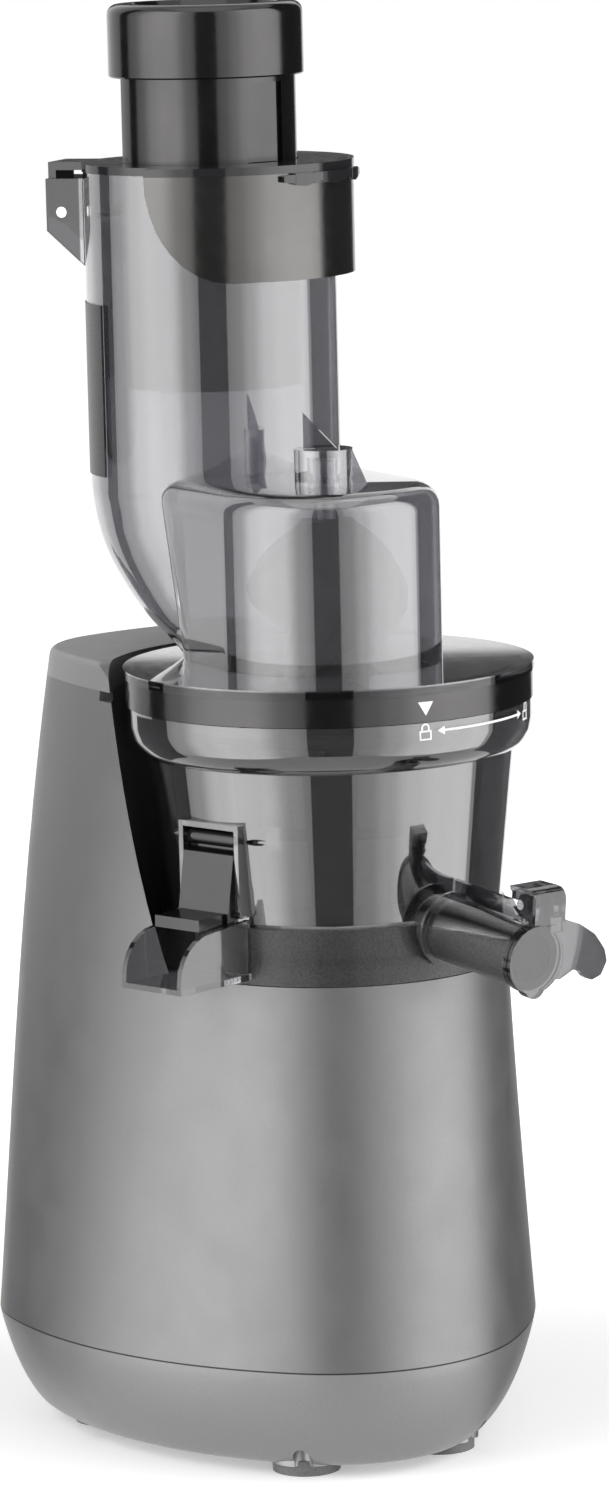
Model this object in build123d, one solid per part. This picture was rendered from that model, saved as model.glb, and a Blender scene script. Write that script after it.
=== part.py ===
from build123d import *
from math import asin, atan2, ceil, cos, degrees, hypot, pi, radians, sin, sqrt, tan
import os

# Cold press juicer. Millimetres, +Z up. Everything is modelled about the upright drive axis, with the
# juice side of the machine towards -Y and the column behind the bowl towards +Y. On export each piece
# is moved so that the origin lies in the middle of the machine's footprint, at the height of its feet.
# A bearing is an angle about the drive axis, in degrees, counted from -Y towards +X.

# ---------------------------------------------------------------- clearances
GAP = 0.3  # between pieces that are put together by hand or move past each other
RUN = 0.05  # radial running clearance of a shaft in its bore
MESH_GAP = 0.12  # added to the centre distance of a pair of gears

# ---------------------------------------------------------------- levels of the housing
FOOT_H = 4.0  # the rubber feet stand this far below the base pan
SEAM_Z = 44.0  # joint between the base pan and the motor housing
DECK_Z = 185.0  # flat deck that carries the bowl
CAP_SEAM_Z = 284.0  # joint between the column and its cap
CAP_TOP_Z = 294.0

# ---------------------------------------------------------------- outline of the housing
# The outline in plan is a chain of tangent arcs: a front arc about the drive axis, two flanks, two rear
# corners and a closing rear arc. Each value is given at the seam, at the deck and at the cap's top.
OUTLINE_LEVELS = (SEAM_Z, DECK_Z, CAP_TOP_Z)
FRONT_R = (66.0, 63.2, 60.0)
FRONT_TURN = (42.0, 58.0, 70.0)
FLANK_R = (163.0, 198.0, 243.0)
FLANK_TURN = 95.0
CORNER_R = (51.0, 45.0, 40.0)
CORNER_TURN = 160.0
SHELL_WALL = 2.6
PAN_TAPER_IN = 8.0  # the pan's side leans in by this much over its height
PAN_ROUND_IN = 14.0  # and its rounded bottom edge by this much more
PAN_WALL = 2.8
CAP_ROUND = 3.0
CAP_NOSE = 17.0  # length over which the cap's two tips are rounded down
CAP_WALL = 2.4
DECK_WALL = 3.0

# ---------------------------------------------------------------- bay in front of the column
BAY_R_DECK = 69.5
BAY_R_TOP = 81.0
ARM_NOTCH_W = 7.0
ARM_NOTCH_H = 3.6

# ---------------------------------------------------------------- feet
FOOT_R = 12.5
FOOT_RECESS = 1.6
FOOT_RIM = 1.5
FRONT_FOOT = (28.0, -22.0)
REAR_FOOT = (60.0, 80.0)
SCREW_PLACES = ((36.0, -35.0), (76.0, 58.0))
SCREW_BOSS_R = 5.0
SCREW_R = 1.8
SCREW_HEAD_R = 3.4
SCREW_HEAD_H = 2.4
SCREW_LENGTH = 22.0

# ---------------------------------------------------------------- gear train and motor
GEAR_MODULE = 1.0
PINION_TEETH = 12
WHEEL_TEETH = 60
GEAR_CASE_Z0 = 138.0
GEAR_CASE_WALL = 3.0
GEAR_CASE_CLEAR = 3.0  # between the tooth tips and the case
FIRST_STAGE_Z = 146.0
SECOND_STAGE_Z = 158.0
WHEEL_W = 8.0
PINION_EXTRA = 2.0  # a pinion is this much wider than its wheel
SHAFT_R = 5.0
ROTOR_SHAFT_R = 3.0
IDLER_PIN_R = 2.5
SHAFT_HOLE_R = 9.0
BEARING_W = 5.0
BEARING_R = 11.0
MOTOR_R = 44.0
MOTOR_CAN_WALL = 1.6
MOTOR_Z0 = 64.0
STATOR_H = 42.0
STATOR_SLOT_AT = 33.0
STATOR_SLOT_L = 9.0
STATOR_SLOT_W = 5.0
WINDING_R = 38.0
WINDING_BORE_R = 27.5
WINDING_H = 8.0
WINDING_ROUND = 2.5
CAN_SLOT_AT = 27.0
CAN_SLOT_L = 14.0
CAN_SLOT_W = 6.0
STATOR_BORE_R = 24.4
ROTOR_R = 24.0
FAN_R = 36.0
FAN_H = 9.0
FAN_BLADES = 9

# ---------------------------------------------------------------- bowl
SKIRT_R = 62.8
SKIRT_H = 20.6
BOWL_WALL = 2.6
BOWL_LOW_R = 61.3
BOWL_HIGH_R = 67.0
SHOULDER_Z = 262.5  # where the tapered wall turns out into the flange
FLANGE_R = 74.0
FLANGE_Z = 274.0
BOWL_RIM_Z = 280.4
BOWL_FLOOR_Z = 195.0
BOWL_FLOOR = 2.6
HUB_R = 15.0
HUB_H = 12.0
HEX_ACROSS = 11.0
HEX_TOP_Z = 232.0
SEAL_LIP = 2.2

# ---------------------------------------------------------------- strainer, brush and auger
STRAINER_LOW_R = 43.0
STRAINER_HIGH_R = 49.0
STRAINER_WALL = 2.0
SCREEN_T = 0.4
SCREEN_FIT = 0.05
STRAINER_Z0 = 203.0
STRAINER_Z1 = 272.0
STRAINER_WINDOWS = 8
STRAINER_BAR = 8.0  # width of the bars between the windows
STRAINER_HOLE_R = 25.0
STRAINER_RIM = 3.0
STRAINER_RIM_T = 3.0
STRAINER_FEET = (0.0, 100.0, -100.0)  # bearings of its three feet, clear of the idler at bearing 180
STRAINER_FOOT_R = 3.0
STRAINER_FOOT_AT = 33.0
BRUSH_GAP = 1.5
BRUSH_WALL = 2.4
BRUSH_Z0 = 207.0
BRUSH_Z1 = 266.0
BRUSH_ARMS = 6
WIPER_T = 1.6
SUN_TEETH = 44
BRUSH_IDLER_TEETH = 22
RING_TEETH = 88
BRUSH_GEAR_W = 5.0
AUGER_NECK_R = 18.5
SOCKET_R = 10.0
AUGER_CLEAR = 0.8
AUGER_CORE_LOW_R = 27.0
AUGER_CORE_HIGH_R = 17.0
AUGER_DRUM_Z1 = 284.0
AUGER_BLADE_R = 36.4
AUGER_BLADE_Z1 = 346.0
AUGER_PIN_R = 4.0
AUGER_FLIGHTS = 3
AUGER_TWIST = 150.0
BLADE_TWIST = 200.0

# ---------------------------------------------------------------- juice spout and its cap
SPOUT_BEARING = 11.0
SPOUT_DROP = 6.0  # degrees below level
SPOUT_R = 11.6
SPOUT_WALL = 2.2
SPOUT_ROOT_R = 62.0
SPOUT_ROOT_Z = 204.1
SPOUT_END = 110.0  # distance of the spout's mouth from the drive axis
ROOT_RING_R = 13.8  # ring round the spout's root
ROOT_RING_W = 1.2
ROOT_RING_AT = 67.5  # its distance from the drive axis
SPOUT_CAP_T = 4.5
SPOUT_CAP_R = 12.3
CAP_LIP_DROP = 14.2
HINGE_W = 14.0
HINGE_X = 6.0  # the hinge stands to the right of the spout's middle
HINGE_PIN_R = 1.8
HINGE_PIN_UP = 18.2  # pin above the spout's axis
HINGE_PIN_BACK = 4.6  # pin behind the spout's mouth
HINGE_RIB_W = 6.0
HINGE_EYE_R = 3.7
HOOK_WALL = 2.4
WEB_T = 2.2  # web on the spout behind the hinge
WEB_TOP = 16.4
WEB_LOW = 11.6  # its height close to the hinge, where the hook needs room
EAR_T = 2.2
EAR_DOME_R = 97.0  # the finger ear is cut from a shallow dome on the spout's axis
EAR_EDGE = (  # its outline, across and up from the spout's axis
    (3.0, 11.4), (14.6, 12.4), (21.6, 9.8), (30.9, 4.3), (38.4, -3.0), (41.0, -8.1), (37.8, -12.6),
    (31.5, -13.0), (26.6, -11.2), (22.5, -7.8), (18.6, -6.4), (12.0, -8.8), (6.0, -8.0),
)
PLUG_DEPTH = 1.5

# ---------------------------------------------------------------- pulp outlet
PULP_BEARING = -69.2
PULP_W = 28.8
PULP_WINDOW_Z0 = 212.0
PULP_WINDOW_Z1 = 241.5
PULP_DUCT_R = 66.5  # outer end of the short frame around the window
TRAY_END_R = 98.0
TRAY_Z0 = 187.0
TRAY_H = 22.6  # at the bowl; the walls' tops slope down from there
TRAY_FALL = 2.4
TRAY_WALL = 2.0
TRAY_SWEEP = 17.0
GATE_SHELF_R = 84.0
GATE_SHELF_Z = 207.5
GATE_SHELF_HALF = 10.7
GATE_PANEL_TOP_R = 66.6
GATE_PANEL_LOW_R = 70.0
GATE_PIVOT_R = 61.5
GATE_PIVOT_Z = 237.5
GATE_PIN_R = 1.2

# ---------------------------------------------------------------- lid, dome and chute
LID_R = 75.0
LID_T = 3.3
LID_TOP_Z = 294.0
LID_RING_H = 10.0
LID_RING_R = 74.5
LID_RING_WALL = 2.4
LID_SKIRT_R = 63.0
LID_SEAL_H = 2.0
DOME_R = 42.0
DOME_TOP_Z = 359.0
DOME_ROUND = 8.5
DOME_BACK_LOW_Y = 31.0
DOME_BACK_HIGH_Y = 49.0
DOME_BACK_CORNER = 12.0
PLUG_WALL = 3.4
PLUG_Z0 = 276.0
CLEAR_WALL = 2.8
CHUTE_R = 47.0
CHUTE_Y = 88.0
CHUTE_TOP_Z = 469.5
# The elbow is a run of level circles: height, distance of the centre behind the axis, and radius.
ELBOW = (
    (LID_TOP_Z, 27.0, DOME_R - 2.0),
    (299.0, 35.5, DOME_R - 1.0),
    (304.0, 45.5, DOME_R + 0.5),
    (312.0, 59.5, 44.0),
    (321.0, 70.0, 45.5),
    (331.0, 79.8, 46.3),
    (341.0, 84.9, 46.8),
    (352.0, CHUTE_Y, CHUTE_R),
)
BOSS_R = 10.7
BOSS_H = 13.0
FIN_H = 13.0
FIN_T = 3.0
FIN_BEARING = -27.0

# ---------------------------------------------------------------- hopper cover, collar and latch
HINGE_BEARING = -135.0
LATCH_BEARING = 45.0
COVER_T = 3.0
COVER_RIM_R = 54.3
COLLAR_R = 54.0
COLLAR_Z0 = 430.3
COLLAR_WALL = 2.4
COLLAR_HALF = 97.5  # degrees either side of the latch
COLLAR_SWEEP_W = 32.0  # width and height of the sweeping lower corner
BRACKET_R = 60.0
BRACKET_LOW_Z = 434.0
BRACKET_MID_Z = 447.0
BRACKET_CHEEK = 3.0
COVER_KNUCKLE_W = 20.0
COVER_PIN_R = 2.0
COVER_PIN_AT = 54.0
COVER_PIN_Z = 454.0
LATCH_OUT = 2.6
LATCH_H = 4.0
LATCH_HALF = 22.0
LATCH_VIEW_BEARING = 30.0
LABEL_T = 0.4
LABEL_FIT = 0.05
LABEL_Z0 = 357.0
LABEL_Z1 = 421.0
LABEL_BEARING = -107.0
LABEL_HALF = 20.0

# ---------------------------------------------------------------- flap in the chute
FLAP_PIVOT_R = 38.5
FLAP_PIVOT_Z = 453.0
FLAP_W = 30.0
FLAP_T = 2.4
FLAP_LOW_Z = 358.0
FLAP_PIN_R = 1.5

# ---------------------------------------------------------------- pusher
PUSHER_R = 33.2
PUSHER_FLAT = 27.0  # distance of the flat from the chute's axis
PUSHER_WALL = 2.5
PUSHER_Z0 = 389.0
PUSHER_CAP_Z0 = 504.0
PUSHER_CAP_R = 36.4
PUSHER_CAP_H = 27.0
PUSHER_DISH = 3.0
PUSHER_DISH_R = 27.4
PUSHER_GROOVE_W = 17.0
PUSHER_GROOVE_D = 2.0
PUSHER_GROOVE_BEARING = 15.0
PUSHER_SPIGOT = 4.0
CAP_RIM_ROUND = 4.0

# ---------------------------------------------------------------- rear fittings
SWITCH_Z = 78.0
SWITCH_W = 15.0
SWITCH_H = 21.0
SWITCH_FLANGE = 2.5
SWITCH_SEAT = 1.0
BEZEL_T = 2.5
ROCKER_CLEAR = 1.9  # above and below the rocker, so that it can tilt
GLAND_Z = 56.0
GLAND_R = 6.0
GLAND_BORE_R = 3.6
GLAND_LIP = 2.4
GLAND_SPARE = 1.2  # room for the wall's curve behind the inner lip
GLAND_SQUEEZE = 0.05  # how far the lips may press on a wall that leans more
BOARD_T = 1.6
BOARD_W = 60.0
BOARD_H = 55.0
BOARD_Z0 = 88.0
BOARD_Y = 104.0
BOARD_PARTS = (  # place across and up, then width, height and depth of each component
    (-16.0, 14.0, 14.0, 16.0, 12.0),
    (8.0, 12.0, 10.0, 10.0, 8.0),
    (14.0, 34.0, 18.0, 12.0, 10.0),
    (-14.0, 38.0, 12.0, 8.0, 6.0),
)
RAIL_W = 6.0
RAIL_T = 3.0
VENT_SLOTS = 7
VENT_LENGTH = 40.0
VENT_W = 4.0
VENT_PITCH = 9.0
VENT_Y = 34.0


# ================================================================ small helpers
def tube(outer, inner, z0, z1):
    return cylinder(outer, z0, z1) - cylinder(inner, z0 - 1, z1 + 1)


def cylinder(radius, z0, z1, x=0.0, y=0.0):
    return Pos(x, y, (z0 + z1) / 2) * Cylinder(radius, z1 - z0)


def block(x0, x1, y0, y1, z0, z1):
    return Pos((x0 + x1) / 2, (y0 + y1) / 2, (z0 + z1) / 2) * Box(x1 - x0, y1 - y0, z1 - z0)


def turned(points):
    """Solid of revolution about Z from (radius, height) points."""
    return revolve(make_face(Polyline(*[(r, 0, z) for r, z in points], close=True)), Axis.Z)


def plate_across(points, half_width):
    """Plate that stands across X, from (y, z) points."""
    outline = make_face(Polyline(*[(0, y, z) for y, z in points], close=True))
    return extrude(outline, half_width, dir=(1, 0, 0), both=True)


def at_bearing(shape, bearing):
    return shape.rotate(Axis.Z, bearing)


def behind(shape):
    """Moves a shape from the drive axis to the chute's axis."""
    return Pos(0, CHUTE_Y, 0) * shape


def at_level(values, z):
    """Value of an outline size at a height, on the parabola through its three levels."""
    low, mid, high = OUTLINE_LEVELS
    z = min(max(z, low), high)
    weights = (
        (z - mid) * (z - high) / ((low - mid) * (low - high)),
        (z - low) * (z - high) / ((mid - low) * (mid - high)),
        (z - low) * (z - mid) / ((high - low) * (high - mid)),
    )
    return sum(value * weight for value, weight in zip(values, weights))


def outline_chain(z, inset):
    """Radius and end bearing of each arc, and the points that join them on the right-hand side."""
    radii = [at_level(FRONT_R, z) - inset, at_level(FLANK_R, z) - inset, at_level(CORNER_R, z) - inset]
    turns = [0.0, radians(at_level(FRONT_TURN, z)), radians(FLANK_TURN), radians(CORNER_TURN)]
    points = [(0.0, -radii[0])]
    middles = []
    for radius, start, end in zip(radii, turns, turns[1:]):
        x, y = points[-1]
        half = (start + end) / 2
        middles.append((x + radius * (sin(half) - sin(start)), y + radius * (cos(start) - cos(half))))
        points.append((x + radius * (sin(end) - sin(start)), y + radius * (cos(start) - cos(end))))
    x, y = points[-1]
    closing = x / sin(turns[-1])
    rear = (0.0, y + closing * (cos(turns[-1]) + 1))
    return points, middles, rear


def outline_face(z, inset=0.0):
    """Level face of the housing's outline at height z."""
    points, middles, rear = outline_chain(z, inset)

    def right(p):
        return (p[0], p[1], z)

    def left(p):
        return (-p[0], p[1], z)

    edges = [
        ThreePointArc(left(points[1]), right(points[0]), right(points[1])),
        ThreePointArc(right(points[1]), right(middles[1]), right(points[2])),
        ThreePointArc(right(points[2]), right(middles[2]), right(points[3])),
        ThreePointArc(right(points[3]), right(rear), left(points[3])),
        ThreePointArc(left(points[3]), left(middles[2]), left(points[2])),
        ThreePointArc(left(points[2]), left(middles[1]), left(points[1])),
    ]
    return make_face(Wire(edges))


def rear_y(z):
    return outline_chain(z, 0.0)[2][1]


def housing_form(z0, z1, inset=0.0):
    """Solid of the housing's outline between two heights."""
    steps = 5
    return loft([outline_face(z0 + (z1 - z0) * i / steps, inset) for i in range(steps + 1)])


def bay_form(grow=0.0, z0=DECK_Z, z1=CAP_TOP_Z + 20.0):
    """The round bay that the bowl stands in, as a cone about the drive axis."""
    slope = (BAY_R_TOP - BAY_R_DECK) / (CAP_TOP_Z - DECK_Z)

    def radius(z):
        return BAY_R_DECK + slope * (z - DECK_Z) + grow

    return turned([(0, z0), (radius(z0), z0), (radius(z1), z1), (0, z1)])


def hexagon(across, z0, z1):
    return extrude(Plane.XY.offset(z0) * RegularPolygon(across / sqrt(3), 6), z1 - z0)


def ring_sector(outer, inner, z0, z1, middle, half):
    """Part of a ring about Z, half degrees either side of a bearing."""
    reach = outer * 2.5
    count = 6
    rim = []
    for i in range(count + 1):
        a = radians(middle - half + 2 * half * i / count)
        rim.append((reach * sin(a), -reach * cos(a), z0))
    sector = extrude(make_face(Polyline((0, 0, z0), *rim, close=True)), z1 - z0)
    return tube(outer, inner, z0, z1) & sector


def gear(teeth, width, bore, z0, phase=0.0):
    """Spur wheel with straight-flanked teeth; at phase 0 a tooth points to bearing 180."""
    pitch_r = GEAR_MODULE * teeth / 2
    tip_r = pitch_r + 0.9 * GEAR_MODULE
    root_r = pitch_r - 1.2 * GEAR_MODULE
    step = 2 * pi / teeth
    outline = []
    for i in range(teeth):
        middle = pi / 2 + (i + phase) * step
        for radius, share in ((root_r, -0.27), (tip_r, -0.10), (tip_r, 0.10), (root_r, 0.27)):
            angle = middle + share * step
            outline.append((radius * cos(angle), radius * sin(angle), z0))
    wheel = extrude(make_face(Polyline(*outline, close=True)), width)
    return wheel - cylinder(bore, z0 - 1, z0 + width + 1)


def twisted(radii_at, z0, z1, twist, lobes, hub_at, slices=12, thin=0.16):
    """Screw with straight-sided flights: the same star outline turned a little more at each height."""
    sections = []
    for i in range(slices + 1):
        z = z0 + (z1 - z0) * i / slices
        turn = radians(twist) * i / slices
        tip, root = radii_at(z), hub_at(z)
        outline = []
        for lobe in range(lobes):
            middle = turn + 2 * pi * lobe / lobes
            for radius, share in ((root, -0.34), (tip, -thin), (tip, thin), (root, 0.34)):
                angle = middle + share * 2 * pi / lobes
                outline.append((radius * cos(angle), radius * sin(angle), z))
        sections.append(make_face(Polyline(*outline, close=True)))
    return loft(sections, ruled=True)


# ================================================================ housing
GEAR_CENTRES = GEAR_MODULE * (PINION_TEETH + WHEEL_TEETH) / 2 + MESH_GAP
WHEEL_TIP_R = GEAR_MODULE * (WHEEL_TEETH / 2 + 0.9)
GEAR_CASE_R = WHEEL_TIP_R + GEAR_CASE_CLEAR + GEAR_CASE_WALL
GEAR_CASE_Z1 = DECK_Z - DECK_WALL
MOTOR_Z1 = GEAR_CASE_Z0 - GAP
FOOT_PLACES = [(side * x, y) for side in (-1, 1) for x, y in (FRONT_FOOT, REAR_FOOT)]
PAN_Z0 = FOOT_H


def motor_housing():
    shell = housing_form(SEAM_Z, CAP_SEAM_Z) - bay_form()
    cavity = housing_form(SEAM_Z - 1, CAP_SEAM_Z + 1, SHELL_WALL)
    cavity -= bay_form(SHELL_WALL, DECK_Z - DECK_WALL)
    shell -= cavity
    for x, y in screw_places():
        web = block(0, 8 * SCREW_BOSS_R, -SCREW_R, SCREW_R, SEAM_Z, SEAM_Z + SCREW_LENGTH)
        boss = Pos(x, y, 0) * web.rotate(Axis.Z, degrees(atan2(y, x)))
        boss += cylinder(SCREW_BOSS_R, SEAM_Z, SEAM_Z + SCREW_LENGTH, x, y)
        shell += boss & housing_form(SEAM_Z, DECK_Z, SHELL_WALL / 2)
        shell -= cylinder(SCREW_R, SEAM_Z - 1, SEAM_Z + SCREW_LENGTH / 2, x, y)
    shell -= arm_notches()
    shell -= cylinder(SHAFT_HOLE_R, DECK_Z - DECK_WALL - 1, DECK_Z + 1)
    seat_y = rear_y(SWITCH_Z) - SWITCH_SEAT
    shell -= block(
        -SWITCH_W / 2 - SWITCH_FLANGE, SWITCH_W / 2 + SWITCH_FLANGE, seat_y, seat_y + 20,
        SWITCH_Z - SWITCH_H / 2 - SWITCH_FLANGE, SWITCH_Z + SWITCH_H / 2 + SWITCH_FLANGE,
    )
    shell -= block(
        -SWITCH_W / 2, SWITCH_W / 2, seat_y - 20, seat_y + 1, SWITCH_Z - SWITCH_H / 2, SWITCH_Z + SWITCH_H / 2
    )
    shell -= Pos(0, rear_y(GLAND_Z), GLAND_Z) * Rot(90, 0, 0) * Cylinder(GLAND_R, 30)
    return shell


def bay_radius(z):
    return BAY_R_DECK + (BAY_R_TOP - BAY_R_DECK) * (z - DECK_Z) / (CAP_TOP_Z - DECK_Z)


def arm_tip_y(z):
    """Where the bay meets the outline's flank: the front tip of the column's two arms."""
    points, middles, rear = outline_chain(z, 0.0)
    x0, y0 = points[1]
    radius, start = at_level(FLANK_R, z), radians(at_level(FRONT_TURN, z))
    steps = 400
    for i in range(steps):
        turn = start + (radians(FLANK_TURN) - start) * i / steps
        x = x0 + radius * (sin(turn) - sin(start))
        y = y0 + radius * (cos(start) - cos(turn))
        if hypot(x, y) >= bay_radius(z):
            return y
    return y0


def column_cap():
    form = housing_form(CAP_SEAM_Z, CAP_TOP_Z)
    form = fillet(form.faces().sort_by(Axis.Z)[-1].edges(), CAP_ROUND)
    form -= bay_form()
    form -= housing_form(CAP_SEAM_Z - 1, CAP_TOP_Z - CAP_WALL, SHELL_WALL) - bay_form(SHELL_WALL)
    tip = arm_tip_y(CAP_SEAM_Z)
    height = CAP_TOP_Z - CAP_SEAM_Z
    nose = block(-2 * BAY_R_TOP, 2 * BAY_R_TOP, tip - 20, tip + CAP_NOSE, CAP_SEAM_Z - 1, CAP_TOP_Z + 1)
    round_over = extrude(Plane.YZ * Ellipse(CAP_NOSE, height), 2 * BAY_R_TOP, both=True)
    return form - (nose - Pos(0, tip + CAP_NOSE, CAP_SEAM_Z) * round_over)


def arm_notches():
    tip = arm_tip_y(CAP_SEAM_Z)
    return block(
        -2 * BAY_R_TOP, 2 * BAY_R_TOP, tip - 5, tip + ARM_NOTCH_W, CAP_SEAM_Z - ARM_NOTCH_H, CAP_SEAM_Z + 1
    )


def pan_form(inset, floor_z):
    """Solid of the pan: its side leans in and then rounds under."""
    steps = 6
    faces = []
    for i in range(steps + 1):
        share = sin(pi / 2 * i / steps)
        lean = PAN_TAPER_IN * share + PAN_ROUND_IN * (1 - sqrt(max(0.0, 1 - share * share)))
        faces.append(outline_face(SEAM_Z - share * (SEAM_Z - floor_z), inset + lean))
    return loft(faces)


def screw_places():
    return [(side * x, y) for side in (-1, 1) for x, y in SCREW_PLACES]


def base_pan():
    pan = pan_form(0.0, PAN_Z0)
    cavity = pan_form(PAN_WALL, PAN_Z0 + PAN_WALL)
    foot_top = PAN_Z0 + FOOT_RECESS + PAN_WALL
    for x, y in FOOT_PLACES:
        pan += cylinder(FOOT_R + FOOT_RIM, PAN_Z0, foot_top, x, y)
        cavity -= cylinder(FOOT_R + FOOT_RIM, 0, foot_top, x, y)
    for x, y in screw_places():
        cavity -= cylinder(SCREW_BOSS_R, 0, SEAM_Z + 1, x, y)
    pan -= cavity
    for x, y in FOOT_PLACES:
        pan -= cylinder(FOOT_R, PAN_Z0 - 1, PAN_Z0 + FOOT_RECESS, x, y)
    for x, y in screw_places():
        pan -= cylinder(SCREW_R, 0, SEAM_Z + 1, x, y)
        pan -= cylinder(SCREW_HEAD_R + GAP, 0, screw_head_z(), x, y)
    for i in range(-(VENT_SLOTS // 2), VENT_SLOTS // 2 + 1):
        slot = Rot(0, 0, 90) * SlotOverall(VENT_LENGTH, VENT_W)
        pan -= Pos(i * VENT_PITCH, VENT_Y, PAN_Z0 - 1) * extrude(slot, PAN_WALL + 2)
    return pan


def screw_head_z():
    """Seat of the screw heads inside their bosses."""
    return SEAM_Z - SCREW_LENGTH / 2


def rubber_feet():
    return [cylinder(FOOT_R, 0, PAN_Z0 + FOOT_RECESS, x, y) for x, y in FOOT_PLACES]


def housing_screws():
    screws = []
    for x, y in screw_places():
        head = cylinder(SCREW_HEAD_R, screw_head_z() - SCREW_HEAD_H, screw_head_z(), x, y)
        screws.append(head + cylinder(SCREW_R, screw_head_z() - 1, SEAM_Z + SCREW_LENGTH / 2 - 1, x, y))
    return screws


def rocker_frame():
    """Bezel and box of the mains switch, with the rocker's two pivot holes."""
    seat_y = rear_y(SWITCH_Z) - SWITCH_SEAT
    w, h, f = SWITCH_W / 2, SWITCH_H / 2, SWITCH_FLANGE
    low, high = SWITCH_Z - h - f + GAP, SWITCH_Z + h + f - GAP
    frame = block(-w - f + GAP, w + f - GAP, seat_y, seat_y + BEZEL_T, low, high)
    frame += block(-w + GAP, w - GAP, seat_y - 14, seat_y + 1, SWITCH_Z - h + GAP, SWITCH_Z + h - GAP)
    frame -= block(-w + 2, w - 2, seat_y - 12, seat_y + 4, SWITCH_Z - h + 2, SWITCH_Z + h - 2)
    return frame - Pos(0, seat_y - 3, SWITCH_Z) * Rot(0, 90, 0) * Cylinder(1.25 + RUN, SWITCH_W - 1)


def rocker_switch():
    seat_y = rear_y(SWITCH_Z) - SWITCH_SEAT
    w, h = SWITCH_W / 2 - 2 - GAP, SWITCH_H / 2 - 2 - ROCKER_CLEAR
    inside = seat_y - 6.0
    face = ((inside, -h * 0.6), (seat_y + 1.2, -h), (seat_y + 2.2, 0), (seat_y + 4.2, h), (inside, h * 0.6))
    rocker = plate_across([(y, z + SWITCH_Z) for y, z in face], w)
    return rocker + Pos(0, seat_y - 3, SWITCH_Z) * Rot(0, 90, 0) * Cylinder(1.25, SWITCH_W - 2.4)


def gland_seats():
    """Where the gland's inner and outer lip start, clear of the leaning wall over the lips' whole height."""
    y = rear_y(GLAND_Z)
    edges = [rear_y(GLAND_Z + side * (GLAND_R + GLAND_LIP)) for side in (-1, 1)]
    inside = min(y - GLAND_SPARE, min(edges) + GLAND_SQUEEZE) - SHELL_WALL
    return inside, max(y + GAP, max(edges) - GLAND_SQUEEZE)


def cable_gland():
    """Grommet in the rear wall that the mains lead would pass through."""
    inside, outside = gland_seats()
    gland = along_y(GLAND_R, inside - GLAND_LIP, outside + GLAND_LIP / 2, 0, GLAND_Z)
    gland += along_y(GLAND_R + GLAND_LIP, outside, outside + GLAND_LIP, 0, GLAND_Z)
    gland += along_y(GLAND_R + GLAND_LIP, inside - GLAND_LIP, inside, 0, GLAND_Z)
    return gland - along_y(GLAND_BORE_R, inside - 2 * GLAND_LIP, outside + 2 * GLAND_LIP, 0, GLAND_Z)


def control_board():
    board = block(-BOARD_W / 2, BOARD_W / 2, BOARD_Y, BOARD_Y + BOARD_T, BOARD_Z0, BOARD_Z0 + BOARD_H)
    for x, z, width, height, depth in BOARD_PARTS:
        low = BOARD_Z0 + z - height / 2
        board += block(x - width / 2, x + width / 2, BOARD_Y - depth, BOARD_Y + 0.1, low, low + height)
    return board


def board_bracket():
    """Two rails that carry the board, with a bar that reaches to the gear case's rear end."""
    back = BOARD_Y + BOARD_T
    bar_z = BOARD_Z0 + BOARD_H + RAIL_T / 2
    half = BOARD_W / 2
    bracket = block(-half, half, GEAR_CENTRES + GEAR_CASE_R, back + RAIL_T, bar_z, bar_z + RAIL_T)
    for side in (-1, 1):
        x = side * (half - RAIL_W / 2)
        bracket += block(x - RAIL_W / 2, x + RAIL_W / 2, back, back + RAIL_T, BOARD_Z0, bar_z + RAIL_T)
    return bracket


def gear_case_form(radius, z0, z1):
    outline = Rot(0, 0, 90) * SlotCenterToCenter(GEAR_CENTRES, 2 * radius)
    return Pos(0, GEAR_CENTRES / 2, z0) * extrude(outline, z1 - z0)


def gear_case():
    case = gear_case_form(GEAR_CASE_R, GEAR_CASE_Z0 + GEAR_CASE_WALL, GEAR_CASE_Z1)
    case -= gear_case_form(GEAR_CASE_R - GEAR_CASE_WALL, GEAR_CASE_Z0, GEAR_CASE_Z1 - GEAR_CASE_WALL)
    case += cylinder(BEARING_R + 2, GEAR_CASE_Z1 - GEAR_CASE_WALL - BEARING_W, GEAR_CASE_Z1)
    case -= cylinder(BEARING_R, GEAR_CASE_Z1 - GEAR_CASE_WALL - BEARING_W - 1, GEAR_CASE_Z1 - GEAR_CASE_WALL)
    case -= cylinder(SHAFT_HOLE_R, GEAR_CASE_Z0, GEAR_CASE_Z1 + 1)
    return case


def gear_case_cover():
    cover = gear_case_form(GEAR_CASE_R, GEAR_CASE_Z0, GEAR_CASE_Z0 + GEAR_CASE_WALL)
    return cover - cylinder(BEARING_R, GEAR_CASE_Z0 - 1, GEAR_CASE_Z0 + GEAR_CASE_WALL + 1)


def shaft_bearings():
    """Ball bearings as plain rings: under the deck, in the case's cover and at the motor's foot."""
    top = GEAR_CASE_Z1 - GEAR_CASE_WALL
    return [
        tube(BEARING_R, SHAFT_R + RUN, top - BEARING_W, top),
        tube(BEARING_R, ROTOR_SHAFT_R + RUN, GEAR_CASE_Z0, GEAR_CASE_Z0 + GEAR_CASE_WALL),
        tube(BEARING_R, ROTOR_SHAFT_R + RUN, MOTOR_Z0, MOTOR_Z0 + BEARING_W),
    ]


def idler_pin():
    z0, z1 = GEAR_CASE_Z0 + GEAR_CASE_WALL, GEAR_CASE_Z1 - GEAR_CASE_WALL
    return cylinder(IDLER_PIN_R, z0, z1, 0, GEAR_CENTRES)


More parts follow.
